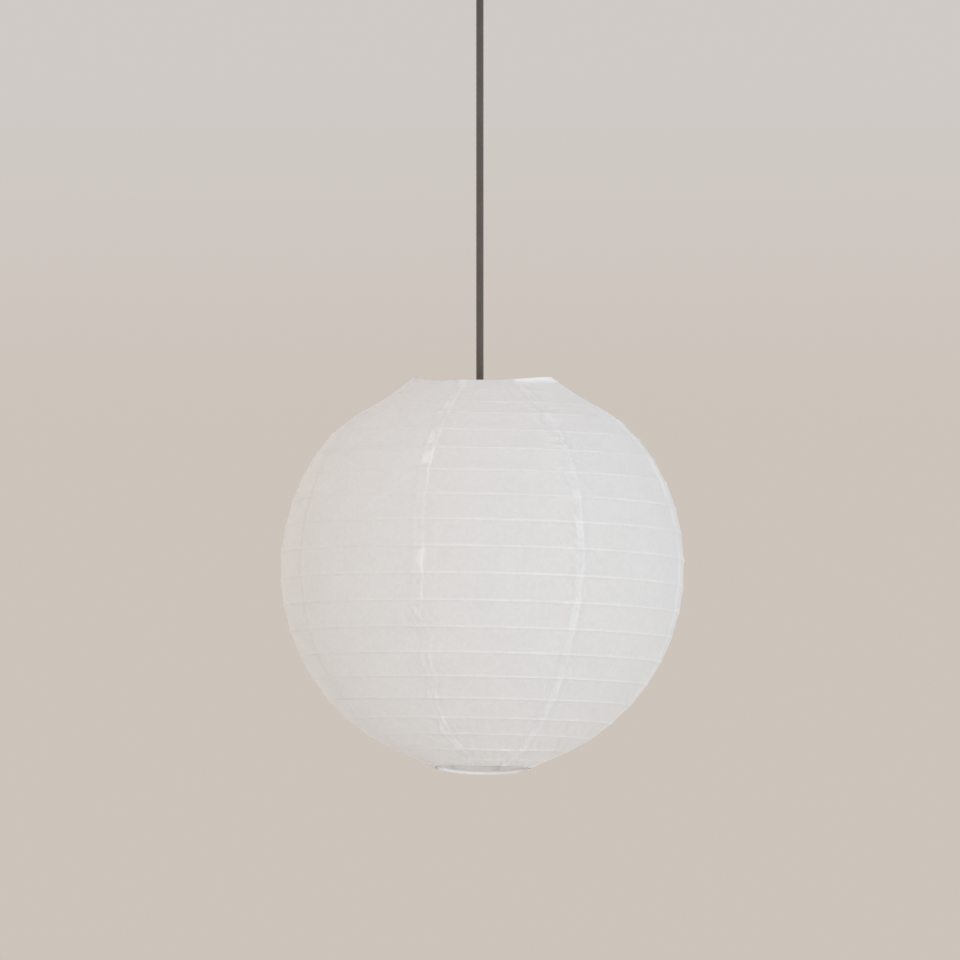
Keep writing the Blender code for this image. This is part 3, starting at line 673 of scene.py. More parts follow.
def row_xyz(row, azimuth, inset=0.0, radius=None):
    """Points of a row, hung as the shade hangs."""
    lat, angle = math.radians(LAT[row]), np.radians(azimuth)
    give_at, spread, give_z, give_r = ROW_GIVE.get(row, (0.0, 1.0, 0.0, 0.0))
    give = bell(wrapped(azimuth - give_at), spread)
    radius = SHADE_R * math.cos(lat) if radius is None else radius
    radius = radius - inset * math.cos(lat) + give_r * give
    x, y = radius * np.sin(angle), -radius * np.cos(angle)
    z = (ROW_Z[row] - inset * math.sin(lat) - SADDLE[row] * np.cos(2 * angle)
         - SLOPE[row] * x - PITCH[row] * y + give_z * give)
    return np.stack([x + SHIFT[row], y, z], -1)


def ring_xyz(row, azimuth):
    return row_xyz(row, azimuth, radius=RING_R[row])


def roll_direction(azimuth, turn):
    """Unit directions from a ring wire, at a turn in degrees up from straight outwards."""
    angle, turn = np.radians(azimuth), math.radians(turn)
    outward = np.stack([np.sin(angle), -np.cos(angle), np.zeros_like(angle)], -1)
    return math.cos(turn) * outward + math.sin(turn) * np.array([0, 0, 1.0])


def hem_xyz(row, azimuth, turn):
    return ring_xyz(row, azimuth) + HEM_R * roll_direction(azimuth, turn)


# ------------------------------------------------------------------ seams and paper relief
class Seam(NamedTuple):
    azimuth: float
    half_lap: float             # mm
    crumple: float              # height of the creases
    white: float                # how far the lap stands out
    body: float = 0.72          # whiteness of the lap's middle
    mottle: float = 0.9         # how much that whiteness varies
    lines: float = 0.8          # strength of the light lines inside the lap
    line_bias: float = -0.15    # higher leaves fewer gaps in those lines
    along: float = 1.0          # strength of creases that run along the seam
    glint: float = 3.4          # light on the crease tops
    gate: tuple = (0.35, 0.7)   # noise range over which creases appear


SEAMS = (
    Seam(0.0, 4.9, 1.35, 0.55, body=0.45, mottle=0.3, lines=0.55, line_bias=0.25, along=0.55),
    Seam(27.1, 3.4, 1.35, 1.0, body=0.58, line_bias=-0.5, glint=4.6, gate=(0.22, 0.5)),
    Seam(75.5, 5.6, 0.8, 1.0, body=1.05),
    Seam(120.0, 4.6, 0.85, 0.9),
    Seam(164.5, 4.4, 0.9, 0.9),
    Seam(209.0, 4.8, 0.8, 0.9),
    Seam(253.5, 4.4, 0.9, 0.9),
    Seam(297.5, 4.0, 0.6, 0.2),
)
LEFT, RIGHT = 0, 1      # the two seams at the front, either side of the middle

# path of the left front seam: latitude, azimuth
LEFT_SEAM = np.array([
    (-76, -12.5), (-63, -14.2), (-56, -18.6), (-43, -18.9), (-34, -17.4), (-28, -18.3),
    (-22, -16.2), (-17, -19.3), (-10, -18.6), (2, -17.6), (18, -18.4), (27, -18.0),
    (33, -17.4), (47, -15.9), (60, -15.2), (76, -15.0)]).T

# creases beside a seam: wavelength (mm), slant, height (mm), seed
CREASES = ((9.5, 0.85, 0.26, 34), (6.3, -0.7, 0.17, 35), (4.2, 0.5, 0.08, 36))
# pulls beside the right front seam: wavelength (mm), strength, seed
PULLS = ((8.6, 0.55, 81), (5.1, 0.34, 82))


def seam_azimuth(index, lat):
    """Azimuth of a seam at each latitude: laid by hand, so never quite straight."""
    index = index % len(SEAMS)
    if index == LEFT:
        path = np.interp(lat, *LEFT_SEAM) + 0.7 * swing(lat / 2.6, 2.5, 12)
    elif index == RIGHT:
        bow = 1.9 * bell(lat - 22, 38.0) - 0.7 - 0.6 * smooth(-30, -50, lat)
        path = bow + 0.7 * swing(lat / 6.0, 4.5, 13)
    else:
        path = (2.0 * swing(lat / 14.0 + index * 7.7, index + 0.5, 14)
                + 0.8 * swing(lat / 4.0, index + 9.5, 15))
    azimuth = SEAMS[index].azimuth + path
    if index < 3:
        # these three were placed on an upright sphere, so the shade's lean is taken off again
        lean = np.interp(-lat, -LAT, SHIFT) - SHADE_X
        depth = np.maximum(np.cos(np.radians(azimuth)), 0.4)
        azimuth = azimuth - np.degrees(lean / (SHADE_R * np.cos(np.radians(lat)) * depth))
    return azimuth


def half_lap(index, lat):
    """Half width of a lap, narrower towards the poles."""
    narrowing = np.clip(0.45 + 0.55 * np.cos(np.radians(lat)), 0.5, 1.0)
    return SEAMS[index % len(SEAMS)].half_lap * narrowing


def paper_places(azimuth, row):
    """What the relief depends on along a row position; lengths in mm."""
    row = np.full(len(azimuth), float(row))
    band = np.clip(np.floor(row).astype(int), 0, HOOPS)
    part_down = row - band
    lat = latitude(row)
    span = SHADE_R * np.radians(LAT[band] - LAT[band + 1])
    belly = np.clip(4 * part_down * (1 - part_down), 0, 1)
    front = wrapped(azimuth)
    return SimpleNamespace(
        azimuth=azimuth, row=row, band=band, lat=lat, front=front, belly=belly,
        window=belly ** 0.7,                                # 0 on the hoops, 1 between them
        down=SHADE_R * np.radians(TOP_LAT - lat),           # along the sphere from the rim
        girth=SHADE_R * np.cos(np.radians(lat)),            # radius of the row
        near=np.minimum(part_down, 1 - part_down) * span,   # distance to the nearest hoop
        above=np.where(part_down < 0.5, -part_down * span, (1 - part_down) * span),
        ribbed=(row > 0.5) & (row < HOOPS + 0.5),           # nearest row is a hoop, not a ring
        left=plateau(front, -170, -110, -24, -14),
        right=plateau(front, 38, 70, 110, 150),
    )


def rib_highlight_and_shadow(at):
    """Painted highlight line on a hoop's crown and painted shadow line below it; both are fainter on
    the left, where less light falls, and on the right limb.
    """
    hoop = np.round(at.row)
    lower = smooth(8.5, 10.5, hoop)
    upper = 1 - smooth(7.5, 11.5, hoop)
    white = 0.30 + 0.10 * lower
    white = white + (0.32 + 0.22 * upper) * (1 - at.left) * (1 - 0.35 * at.right)
    white = white * (0.78 + 0.44 * noise(at.azimuth / 9.0, hoop * 3.1, 71))
    # a painted highlight patch on hoop 18, right of the front
    white = white + 0.9 * (hoop == 18) * bell(at.front - 14.0, 7.0)
    # painted shadow line just below each hoop's crown
    painted_shade = 0.08 * (1 - at.left * (1 - lower)) * (1 - 0.5 * at.right)
    return (white * bell(at.above - 0.25, 0.8) * at.ribbed,
            painted_shade * bell(at.above + 1.7, 1.0) * at.ribbed)


def sheet_relief(at):
    """Outward displacement of the paper away from its seams."""
    # drawn in between hoops, unevenly
    depth = (0.22 + 0.50 * swing(at.azimuth / 11.0, at.band * 3.7 + 0.4, 21)
             + 0.30 * swing(at.azimuth / 4.0, at.band * 5.3, 22))
    # ridge over each hoop, weaker at the sides
    ridge = bell(at.near, 0.85) * at.ribbed
    weaker = 0.35 * at.right + 0.22 * at.left
    # pleats that run up and down where the gores narrow
    polar = smooth(42, 68, np.abs(at.lat))
    low = smooth(-40, -66, at.lat)
    width = at.azimuth * at.girth
    pleat = (swing(width / 330.0 + 40, at.down / 26.0 + at.band * 1.3, 23)
             + 0.6 * swing(width / 150.0 + 11, at.down / 20.0 + at.band * 0.7, 24))
    ripple = 0.22 * swing(width / 520.0, at.down / 9.0, 25)
    return (-depth * at.belly + 0.42 * (1 - weaker) * ridge
            + at.window * ((0.10 + 0.55 * polar + 0.75 * low) * pleat + ripple))


def seam_creases(at, index, across):
    """Height, painted highlight and painted shade of the creases that run off to both sides of a
    seam.
    """
    seam, down, lat = SEAMS[index], at.down, at.lat
    away = np.abs(across)
    reach = 11.0 + 5.0 * noise(down / 30.0, index + 0.3, 31)
    fade = np.exp(-((away / reach) ** 1.4))
    crumple = seam.crumple * (0.35 + 0.9 * noise(down / 34.0 + 5, index * 2.1, 32))
    if index == LEFT:
        crumple = crumple * (0.6 + 0.5 * smooth(-5, -13, lat))
    if index == RIGHT:
        crumple = crumple * (1.0 + 0.55 * smooth(12, 30, lat)
                             + 0.35 * plateau(lat, -2, -14, -24, -36))
    warp = 3.0 * noise(down / 16.0, across / 16.0 + index * 9, 33)
    height, light, painted_shade = 0.0, 0.0, 0.0
    for wave, slant, amount, seed in CREASES:
        phase = (down + slant * away) / wave + warp + 7 * noise(down / 50.0, index + seed, seed)
        crease = 1.0 - 2.0 * np.abs(np.sin(math.pi * phase))
        gate = smooth(*seam.gate, noise(down / 13.0 + seed, across / 11.0 + index * 5, seed + 10))
        strength = crumple * amount * fade * at.window * gate
        height = height + strength * crease
        # painted highlight on crease tops; painted shade in crease valleys
        light = light + seam.glint * strength * np.clip(crease - 0.35, 0, 1)
        painted_shade = painted_shade + 2.6 * strength * np.clip(-crease - 0.45, 0, 1)
    # two creases along the seam: one right of its middle, one left
    along = (0.30 * bell(across - seam.half_lap * 0.25, 1.1)
             * (noise(down / 17.0, index + 0.9, 37) - 0.3)
             + 0.24 * bell(across + seam.half_lap * 0.55, 0.9)
             * (noise(down / 14.0, index + 4.9, 38) - 0.3))
    height = height + seam.along * seam.crumple * along * (0.35 + 0.65 * at.window)
    return height, light, painted_shade


def lap_white(at, index, across, width):
    """Whiteness of a lap: a mottled band with a light line near each edge."""
    seam, down = SEAMS[index], at.down
    edge = np.abs(across) + 0.7 * swing(down / 9.0, index + 0.7, 39)
    band = 1.0 - smooth(width - 0.35, width + 0.25, edge)
    body = seam.body + seam.mottle * swing(down / 12.0, index + 6.1, 40)
    wander = 1.1 * swing(down / 13.0, index + 2.2, 41)
    lines = (bell(across - width * 0.72 + wander, 0.8)
             + 0.9 * bell(across + width * 0.66 + wander, 0.8))
    gaps = smooth(0.25, 0.6, noise(down / 21.0, index + 7.7, 42) + seam.line_bias)
    return seam.white * np.clip(band * (body + seam.lines * lines * gaps), 0.0, 1.2)


def right_seam_pulls(at, across):
    """Painted highlights on pulls running down and away to the left of the right front seam, and its
    glue knots.
    """
    away, down, lat = np.abs(across), at.down, at.lat
    beside = (across < 0) * bell(away, 17.0) * smooth(2.5, 6.0, away)
    zone = plateau(lat, 10, 18, 52, 62) + 0.8 * plateau(lat, -4, -12, -24, -34)
    light = 0.0
    for wave, amount, seed in PULLS:
        phase = (down - 0.30 * away) / wave + 1.2 * noise(down / 22.0, away / 18.0 + seed, seed)
        gate = smooth(0.25, 0.5, noise(down / 12.0, away / 12.0, seed + 4))
        pull = np.clip(np.cos(math.tau * phase) - 0.35, 0, 1) * gate
        light = light + amount * pull * beside * zone
    # knots of glue where the seam crosses the upper hoops
    knot = bell(across, 2.6) * bell(at.near, 2.2) * plateau(lat, 34, 40, 60, 64)
    return light, 1.1 * knot


def relief(azimuth, row):
    """Outward displacement in mm, and the amounts of lap whiteness with painted highlight, of painted
    highlight and of painted shade.
    """
    at = paper_places(azimuth, row)
    height = sheet_relief(at)
    light, painted_shade = rib_highlight_and_shadow(at)
    lap_and_highlight = np.zeros_like(height)
    for index, seam in enumerate(SEAMS):
        across = np.radians(wrapped(azimuth - seam_azimuth(index, at.lat))) * at.girth
        width = half_lap(index, at.lat)
        crease_height, crease_light, crease_shade = seam_creases(at, index, across)
        height = height + crease_height
        light = light + crease_light
        # painted shade on the paper beside a lap
        beside = 0.30 * seam.white * bell(np.abs(across) - width - 3.2, 2.6)
        painted_shade = painted_shade + crease_shade + beside
        lap_and_highlight = np.maximum(lap_and_highlight, lap_white(at, index, across, width))
        if index == RIGHT:
            pull_light, knots = right_seam_pulls(at, across)
            light = light + pull_light
            lap_and_highlight = np.maximum(lap_and_highlight, knots)
    # painted highlight on the rim's roll on the right and front right
    rim = plateau(at.front, 22, 30, 78, 95) * (1 - smooth(0.12, 0.38, at.row))
    return height, np.maximum(lap_and_highlight, 0.9 * rim), light + 1.1 * rim, painted_shade


# ------------------------------------------------------------------ paper, hoops and ring wires
# stations between two rows, as parts of the way down
BAND_PARTS = (0.0, 0.022, 0.045, 0.075, 0.12, 0.19, 0.28, 0.39,
              0.5, 0.61, 0.72, 0.81, 0.88, 0.925, 0.955, 0.978)
SHEET_COLUMNS = 100
LAP_LIFT = 0.26         # mm a sheet lies above the one it laps over
RIB_WIRE_R = 0.55
RIB_INSET = 0.62        # hoop's centre line inside the paper


def fold_with_shade(obj):
    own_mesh(obj)


def paper_sheet(index):
    """One gore: under its left neighbour, over its right one, and down on both hems."""
    stations = [band + down for band in range(FOOT) for down in BAND_PARTS] + [float(FOOT)]
    across = np.linspace(0, 1, SHEET_COLUMNS)
    across = across - 0.08 * np.sin(math.tau * across)      # denser at the laps
    grid, laps_and_highlights, highlights, painted_shades = [], [], [], []
    for station in stations:
        band = min(int(station), HOOPS)
        down = station - band
        lat = latitude(station)
        girth = SHADE_R * math.cos(math.radians(lat))
        left_lap = half_lap(index, lat) + 0.9 * swing(lat / 3.0, index + 0.2, 51)
        right_lap = half_lap(index + 1, lat) + 0.9 * swing(lat / 2.5, index + 0.2, 52)
        left = seam_azimuth(index, lat) - np.degrees(left_lap / girth)
        right = seam_azimuth(index + 1, lat) + np.degrees(right_lap / girth)
        if index == len(SEAMS) - 1:
            right = right + 360.0
        azimuth = left + (right - left) * across
        height, lap_and_highlight, light, painted_shade = relief(azimuth, station)
        # lifted over the neighbour on the right, with the glued edge lying down on it
        from_right = np.radians(right - azimuth) * girth
        over = smooth(2 * right_lap + 2.4, 2 * right_lap + 0.4, from_right)
        lift = LAP_LIFT * over * (0.12 + 0.88 * smooth(0.0, 1.6, from_right))
        laps_and_highlights.append(lap_and_highlight)
        highlights.append(light)
        painted_shades.append(painted_shade)
        top = hem_xyz(0, azimuth, RIM_LAP_ANGLE) if band == 0 else row_xyz(band, azimuth)
        low = (hem_xyz(FOOT, azimuth, FOOT_LAP_ANGLE) if band == HOOPS
               else row_xyz(band + 1, azimuth))
        outward = roll_direction(azimuth, lat)
        grid.append(top * (1 - down) + low * down + outward * (height + lift)[:, None])
    # turned to run upwards, the grid faces into the shade and the shell's copy lies outside it
    # lap whiteness with painted highlight, painted highlight, and painted shade for the paper's
    # colour
    maps = {"lap_and_highlight": laps_and_highlights, "painted_highlight": highlights, "painted_shade": painted_shades}
    maps = {key: np.array(values)[::-1] for key, values in maps.items()}
    name = f"paper_sheet_{index + 1}"
    obj = shell(name, np.array(grid)[::-1], PAPER_T, MAT_PAPER, maps)
    return part(obj, "lantern", f"paper_gore_{index + 1}")


def hem(name, row, turns, body):
    """Paper rolled round a ring wire, partly under the gores; it stays with its ring in a fold."""
    azimuth = np.linspace(0, 360, 300, endpoint=False)
    centre = ring_xyz(row, azimuth)
    outer, inner = [], []
    for turn in turns:
        wave = (0.16 * swing(azimuth / 3.1, row + turn / 40.0, 61)
                + 0.22 * swing(azimuth / 8.0, 3.3, 62))
        under = -0.12 if FOOT_LAP_ANGLE <= turn <= RIM_LAP_ANGLE else 0.0
        reach = (HEM_R + under + np.maximum(wave, -0.1))[:, None]
        direction = roll_direction(azimuth, turn)
        outer.append(centre + direction * reach)
        inner.append(centre + direction * (reach - PAPER_T))
    points = np.reshape(outer + inner, (-1, 3))
    rows, columns = len(turns), len(azimuth)
    offset = rows * columns
    index = np.arange(offset).reshape(rows, columns)
    quads = [grid_quads(rows, columns, False, True),
             grid_quads(rows, columns, False, True, offset=offset, flip=True)]
    for edge in (index[0], index[-1]):
        after = np.roll(edge, -1)
        quads.append(np.stack([edge, after, after + offset, edge + offset], -1))
    lap_and_highlight, light, painted_shade = relief(azimuth, row)[1:]
    if row == FOOT:
        # painted highlight on the back of the foot's roll
        back = smooth(95, 130, np.abs(wrapped(azimuth)))
        lap_and_highlight = np.maximum(lap_and_highlight, back)
        light = np.maximum(light, 1.2 * back)
    maps = {"lap_and_highlight": lap_and_highlight, "painted_highlight": light, "painted_shade": 0.2 * painted_shade}
    maps = {key: np.tile(values, 2 * rows) for key, values in maps.items()}
    obj = mesh_object(name, points, np.concatenate(quads), MAT_PAPER, maps)
    part(sharpen(fix_normals(obj), 60), body)


def build_shade():
    for index in range(len(SEAMS)):
        fold_with_shade(paper_sheet(index))
    hem("paper_rim_hem", 0, (250, 215, 180, 150, 120, 100, 80, RIM_LAP_ANGLE, 35), "lantern")
    hem("paper_foot_hem", FOOT,
        (-45, FOOT_LAP_ANGLE, -95, -120, -150, -180, -215, -250, -280), "bottom")
    azimuth = np.linspace(0, 360, 180, endpoint=False)
    for row in range(1, FOOT):
        line = row_xyz(row, azimuth, inset=RIB_INSET)
        hoop = ring_tube(f"rib_wire_{row:02d}", line, RIB_WIRE_R, MAT_RIB, sides=8)
        fold_with_shade(part(hoop, "lantern", f"rib_hoop_{row:02d}"))
    for place, row, body in (("top", 0, "lantern"), ("bottom", FOOT, "bottom")):
        line = ring_xyz(row, azimuth)
        ring = ring_tube(f"{place}_ring_wire", line, RING_WIRE_R, MAT_ZINC, sides=12)
        part(ring, body, f"{place}_ring")


# ------------------------------------------------------------------ expander
SOCKET_R, SOCKET_Z = 21.0, -474.4       # ring round the lampholder
WIRE_R = 1.1
LEG_X = 34.5                            # upright part of the arms and legs, out from the axis
LEG_TOP_Z = -475.7
WELD_RADII = (1.5, 1.7, 1.35)


def weld_bead(name, centre, radii, body):
    """A small irregular weld where two wires meet."""
    around, up = np.meshgrid(circle(24), np.linspace(-math.pi / 2, math.pi / 2, 13)[1:-1],
                             indexing="ij")
    lump = 1 + 0.10 * np.sin(3 * around + 1.3) * np.cos(up) + 0.06 * np.sin(5 * up + around)
    ball = np.stack([np.cos(up) * np.cos(around), np.cos(up) * np.sin(around), np.sin(up)], -1)
    centre, radii = np.array(centre), np.array(radii)
    pole = np.array([0, 0, radii[2]])
    columns = centre + radii * lump[..., None] * ball
    part(spun_mesh(name, columns, centre - pole, centre + pole, MAT_ZINC), body)


def build_expander():
    angle = circle(96)
    line = np.stack([SOCKET_R * np.cos(angle), SOCKET_R * np.sin(angle),
                     np.full_like(angle, SOCKET_Z)], -1)
    ring = ring_tube("expander_ring_wire", line, WIRE_R, MAT_ZINC, sides=12)
    part(ring, "lantern", "expander_socket_ring")

    for side, label in ((-1, "left"), (1, "right")):
        def wire(kind, path, bend, body):
            """A bent wire through (distance out, height) points on this side."""
            points = [(side * out, 0, z) for out, z in path]
            obj = bar(f"expander_{kind}_wire_{label}", points, WIRE_R, MAT_ZINC, bend=bend)
            part(obj, body, f"expander_{kind}_{label}")

        # arm: out from the socket ring, up, and hooked past the rim's ring wire
        top = ring_xyz(0, 90.0 * side)[2]
        out = TOP_RING_R + side * SHIFT[0]
        wire("arm", [
            (SOCKET_R + 0.6, SOCKET_Z), (LEG_X - 1.2, SOCKET_Z), (LEG_X, SOCKET_Z + 1.2),
            (LEG_X, -447.0), (LEG_X + 2.0, -444.2), (out - 3.0, top - 5.0), (out - 0.6, top - 3.7),
            (out - 3.2, top), (out - 1.4, top + 2.5)], bend=1.6, body="lantern")
        weld_bead(f"expander_weld_{label}", (side * (SOCKET_R + 1.15), 0, SOCKET_Z), WELD_RADII,
                  "lantern")
        # leg: down, and hooked past the foot's ring wire
        low = ring_xyz(FOOT, 90.0 * side)[2]
        out = BOTTOM_RING_R + side * SHIFT[-1]
        wire("leg", [
            (LEG_X, LEG_TOP_Z), (LEG_X, low + 13.0), (out - 0.6, low + 3.7), (out - 3.2, low),
            (out - 0.9, low - 3.5)], bend=1.8, body=f"leg_{label}")


# ------------------------------------------------------------------ lampholder, collar and bulb
# Outlines are (radius, height) points, with a corner's own ease where there is a third number.
SCREW_PITCH = 3.629             # bulb cap and contact shell
SKIRT_PITCH = 3.0

GLAND_CORNER_R = 6.6            # hexagon's corners
GLAND = [(4.3, -436), (5.6, -436), (GLAND_CORNER_R, -437.2), (GLAND_CORNER_R, -440.6),
         (GLAND_CORNER_R, -441.2), (8.2, -441.6), (8.2, -444.9), (4.3, -444.9)]
HOLDER_CAP = [
    (4.4, -445.3), (9.5, -445.3, 3), (14.5, -447.3, 4), (18.0, -451.5, 4), (20.0, -458.5, 5),
    (20.0, -469.7, 0.5), (18.3, -469.7, 0.3), (18.3, -459.0, 4), (16.5, -452.7, 4),
    (13.4, -448.9, 4), (9.2, -447.0, 2), (4.4, -447.0)]
SKIRT = [(24.0, -470.0), (24.0, -472.9), (19.0, -472.9, 0.3), (19.0, -505.0), (17.2, -505.0),
         (17.2, -470.0)]
INSULATOR = [(0, -474.5), (16.8, -474.5), (16.8, -479.0), (10.5, -479.0, 0.5), (9.8, -478.2, 0.4),
             (0, -478.2)]
CONTACT_SHELL = [(14.4, -479.4), (14.4, -503.0), (13.95, -503.0), (13.95, -479.4)]
COLLAR = [(25.2, -475.8), (25.8, -477.0), (25.8, -483.6), (25.2, -484.8), (19.5, -484.8),
          (19.5, -475.8)]
BULB_TIP = [(0, -482.2), (3.2, -482.2, 1.2), (4.8, -483.3, 0.8), (4.8, -484.4), (0, -484.4)]
VITRITE = [(0, -484.5), (7.0, -484.5, 1.0), (12.0, -487.9, 0.6), (12.0, -488.6), (0, -488.6)]
SCREW_CAP = [(12.1, -488.5), (12.95, -489.6), (12.95, -505.4, 0.5), (13.25, -506.4, 0.4),
             (13.25, -508.2), (12.2, -508.2), (12.0, -489.9)]
GLOBE_R, GLOBE_Z, GLASS_T = 27.0, -556.0, 0.9
# glass neck above the globe: outer radius, outer height, inner height, ease
NECK = ((17.4, -528.0, -528.3, 6), (13.4, -518.0, -518.2, 5), (11.6, -509.5, -509.6, 2),
        (11.6, -492.0, -492.0, 0.2))


def ridged(low, high, count, depth):
    """Vertical ridges in every wall between two heights."""
    def shape(radius, height, angle):
        band = plateau(height, low, low + 0.8, high - 0.8, high)
        return radius - depth * band * (0.5 - 0.5 * np.cos(count * angle)) ** 0.6
    return shape


def threaded(zone, pitch, depth, offset=0.0, beyond=0.0):
    """A screw thread in walls outside the radius `beyond`; zone is the heights of a plateau."""
    def shape(radius, height, angle):
        share = plateau(height, *zone) * (radius > beyond)
        wave = np.sin(math.tau * height / pitch + angle)
        return radius + share * (depth * wave + offset)
    return shape


def hexagonal(radius, height, angle):
    """Six flats on the gland nut's outer wall above its flange."""
    sixth = math.pi / 3
    from_flat = (angle + sixth / 2) % sixth - sixth / 2
    flats = GLAND_CORNER_R * math.cos(sixth / 2) / np.maximum(np.cos(from_flat), 0.5)
    share = smooth(-441.2, -440.6, height) * (radius > 5.8)
    return np.minimum(radius, flats * share + radius * (1 - share))


def build_lampholder():
    gland = turned("cord_gland_nut", GLAND, MAT_PLASTIC, relief=hexagonal, ease=0.3, longest=0.5)
    part(sharpen(gland, 38), "lantern", "cord_gland")

    ridges = ridged(low=-468.6, high=-459.5, count=48, depth=0.35)
    cap = turned("lampholder_cap", HOLDER_CAP, MAT_PLASTIC, 128, ridges, longest=0.8)
    part(cap, "lantern", "holder_cap")

    thread = threaded((-503.5, -502.0, -475.6, -474.2), SKIRT_PITCH, depth=-0.16, offset=-0.16,
                      beyond=18.3)
    skirt = turned("lampholder_skirt", SKIRT, MAT_PLASTIC, 128, thread, longest=0.5)
    part(skirt, "lantern", "holder_skirt")

    insulator = turned("lampholder_insulator", INSULATOR, MAT_CERAMIC, ease=0.5)
    part(insulator, "lantern", "holder_insulator")

    thread = threaded((-502.5, -501.0, -482.0, -480.6), SCREW_PITCH, depth=0.22)
    contact = turned("contact_shell_thread", CONTACT_SHELL, MAT_BRASS, 128, thread, ease=0.12,
                     longest=0.45)
    part(contact, "lantern", "contact_shell")

    ridges = ridged(low=-484.2, high=-476.6, count=40, depth=0.55)
    collar = turned("shade_collar_ring", COLLAR, MAT_PLASTIC, 240, ridges, ease=0.5, longest=0.6)
    part(collar, "collar", "shade_collar")


def globe_wall(radius):
    """Arc from the bottom of the globe up to its neck, every 6 degrees."""
    angles = [math.radians(-90 + 6.0 * step) for step in range(22)]
    return [(radius * math.cos(angle), GLOBE_Z + radius * math.sin(angle), 0)
            for angle in angles]


def build_bulb():
    tip = turned("bulb_tip_contact", BULB_TIP, MAT_NICKEL, 64)
    part(tip, "bulb", "bulb_contact_tip")
    part(turned("bulb_vitrite", VITRITE, MAT_BLACK), "bulb")

    thread = threaded((-505.6, -504.2, -490.6, -489.4), SCREW_PITCH, depth=0.38, offset=-0.12,
                      beyond=12.0)
    cap = turned("bulb_screw_cap", SCREW_CAP, MAT_NICKEL, 128, thread, ease=0.3, longest=0.4)
    part(cap, "bulb", "bulb_base")

    outer = globe_wall(GLOBE_R) + [(radius, z, ease) for radius, z, _, ease in NECK]
    inner = globe_wall(GLOBE_R - GLASS_T) + [(radius - GLASS_T, z, ease)
                                             for radius, _, z, ease in NECK]
    globe = turned("bulb_globe_glass", outer + inner[::-1], MAT_GLASS, 128, longest=1.6, steps=6)
    part(globe, "bulb", "bulb_globe")


# ------------------------------------------------------------------ cord and ceiling end
CORD_R, PILE_HEIGHT = 3.08, 0.17
CORD_SIDES, CORD_STEP = 60, 0.62
YARNS = 8                       # yarns each way round the braid
YARN_PITCH = 11.0 / 1.9         # mm of cord per repeat of the braid
CORE_R = 1.1

CANOPY_R, CANOPY_WALL, CANOPY_HEIGHT = 52.0, 1.2, 60.0
CANOPY_TOP_Z = -0.5
CORD_HOLE_R = 8.0

# paths of the two cores: out of the sheath, round the cord grip and into the terminal block
BROWN_CORE = [(3.8, -3.1, -24.8), (3.8, -3.1, -21.0), (9.0, -3.0, -14.0), (14.0, -2.5, -12.5),
              (25.0, -2.5, -12.5)]
BLUE_CORE = [(-3.8, -3.1, -24.8), (-3.8, -4.6, -22.6), (-1.0, -10.3, -19.0), (8.0, -10.3, -15.0),
             (15.0, -7.7, -12.5), (25.0, -7.5, -12.5)]


def build_cord():
    """Two sets of yarns wound opposite ways, passing over and under each other."""
    low, high = cad_box_mm("pendant_cord")
    heights = np.arange(high[2], low[2], -CORD_STEP)
    heights[-1] = low[2]
    z, angle = np.meshgrid(heights, circle(CORD_SIDES), indexing="ij")
    twist = math.tau * z / YARN_PITCH
    one_way, other_way = YARNS * angle + twist, YARNS * angle - twist
    over = 0.5 + 0.5 * np.tanh(6.0 * np.sin(one_way) * np.sin(other_way))
    pile = np.clip(over * np.abs(np.cos(one_way / 2)) ** 0.7
                   + (1 - over) * np.abs(np.cos(other_way / 2)) ** 0.7, 0, 1)
    radius = CORD_R + PILE_HEIGHT * pile
    rings = np.stack([radius * np.cos(angle), radius * np.sin(angle), z], -1)
    maps = {"pile": np.append(pile, [0.5, 0.5])}
    part(capped_tube("cord_braid", rings, MAT_CORD, maps), "cord", "pendant_cord")


def build_ceiling():
    inner, floor, hole = CANOPY_R - CANOPY_WALL, -CANOPY_HEIGHT, CORD_HOLE_R
    outline = [
        (CANOPY_R, CANOPY_TOP_Z, 0.3), (CANOPY_R, floor + 5.5, 4.5), (CANOPY_R - 4.5, floor, 4.0),
        (hole + 1.4, floor, 0.6), (hole, floor + 0.6, 0.6), (hole, floor + 2.0, 0.3),
        (hole + 1.6, floor + 1.5, 0.4), (inner - 4.0, floor + 1.4, 3.6), (inner, floor + 6.0, 4.2),
        (inner, CANOPY_TOP_Z, 0.3)]
    canopy = turned("canopy_shell", outline, MAT_CANOPY, 160, longest=2.5, steps=8)
    part(canopy, "canopy", "canopy_cup")

    for colour, path, material in (("brown", BROWN_CORE, MAT_BROWN), ("blue", BLUE_CORE, MAT_BLUE)):
        core = bar(f"core_wire_{colour}", path, CORE_R, material, sides=20, bend=2.6, longest=1.0)
        part(core, "ceiling", f"core_{colour}")


# ------------------------------------------------------------------ CAD pieces kept as they are
# node, material, width of its eased edges in mm (None leaves them sharp)
CARRIED = (
    ("ceiling_bracket", MAT_GALV, 0.35), ("ceiling_hook", MAT_GALV, None),
    ("terminal_block", MAT_TERMINAL, 0.6),
    ("canopy_screw_left", MAT_GALV, 0.3), ("canopy_screw_right", MAT_GALV, 0.3),
    ("cord_grip_body", MAT_NYLON, 0.5), ("cord_grip_clamp", MAT_NYLON, 0.5),
    ("grip_screw_1", MAT_ZINC, 0.2), ("grip_screw_2", MAT_ZINC, 0.2),
    ("centre_contact", MAT_BRASS, 0.1),
)


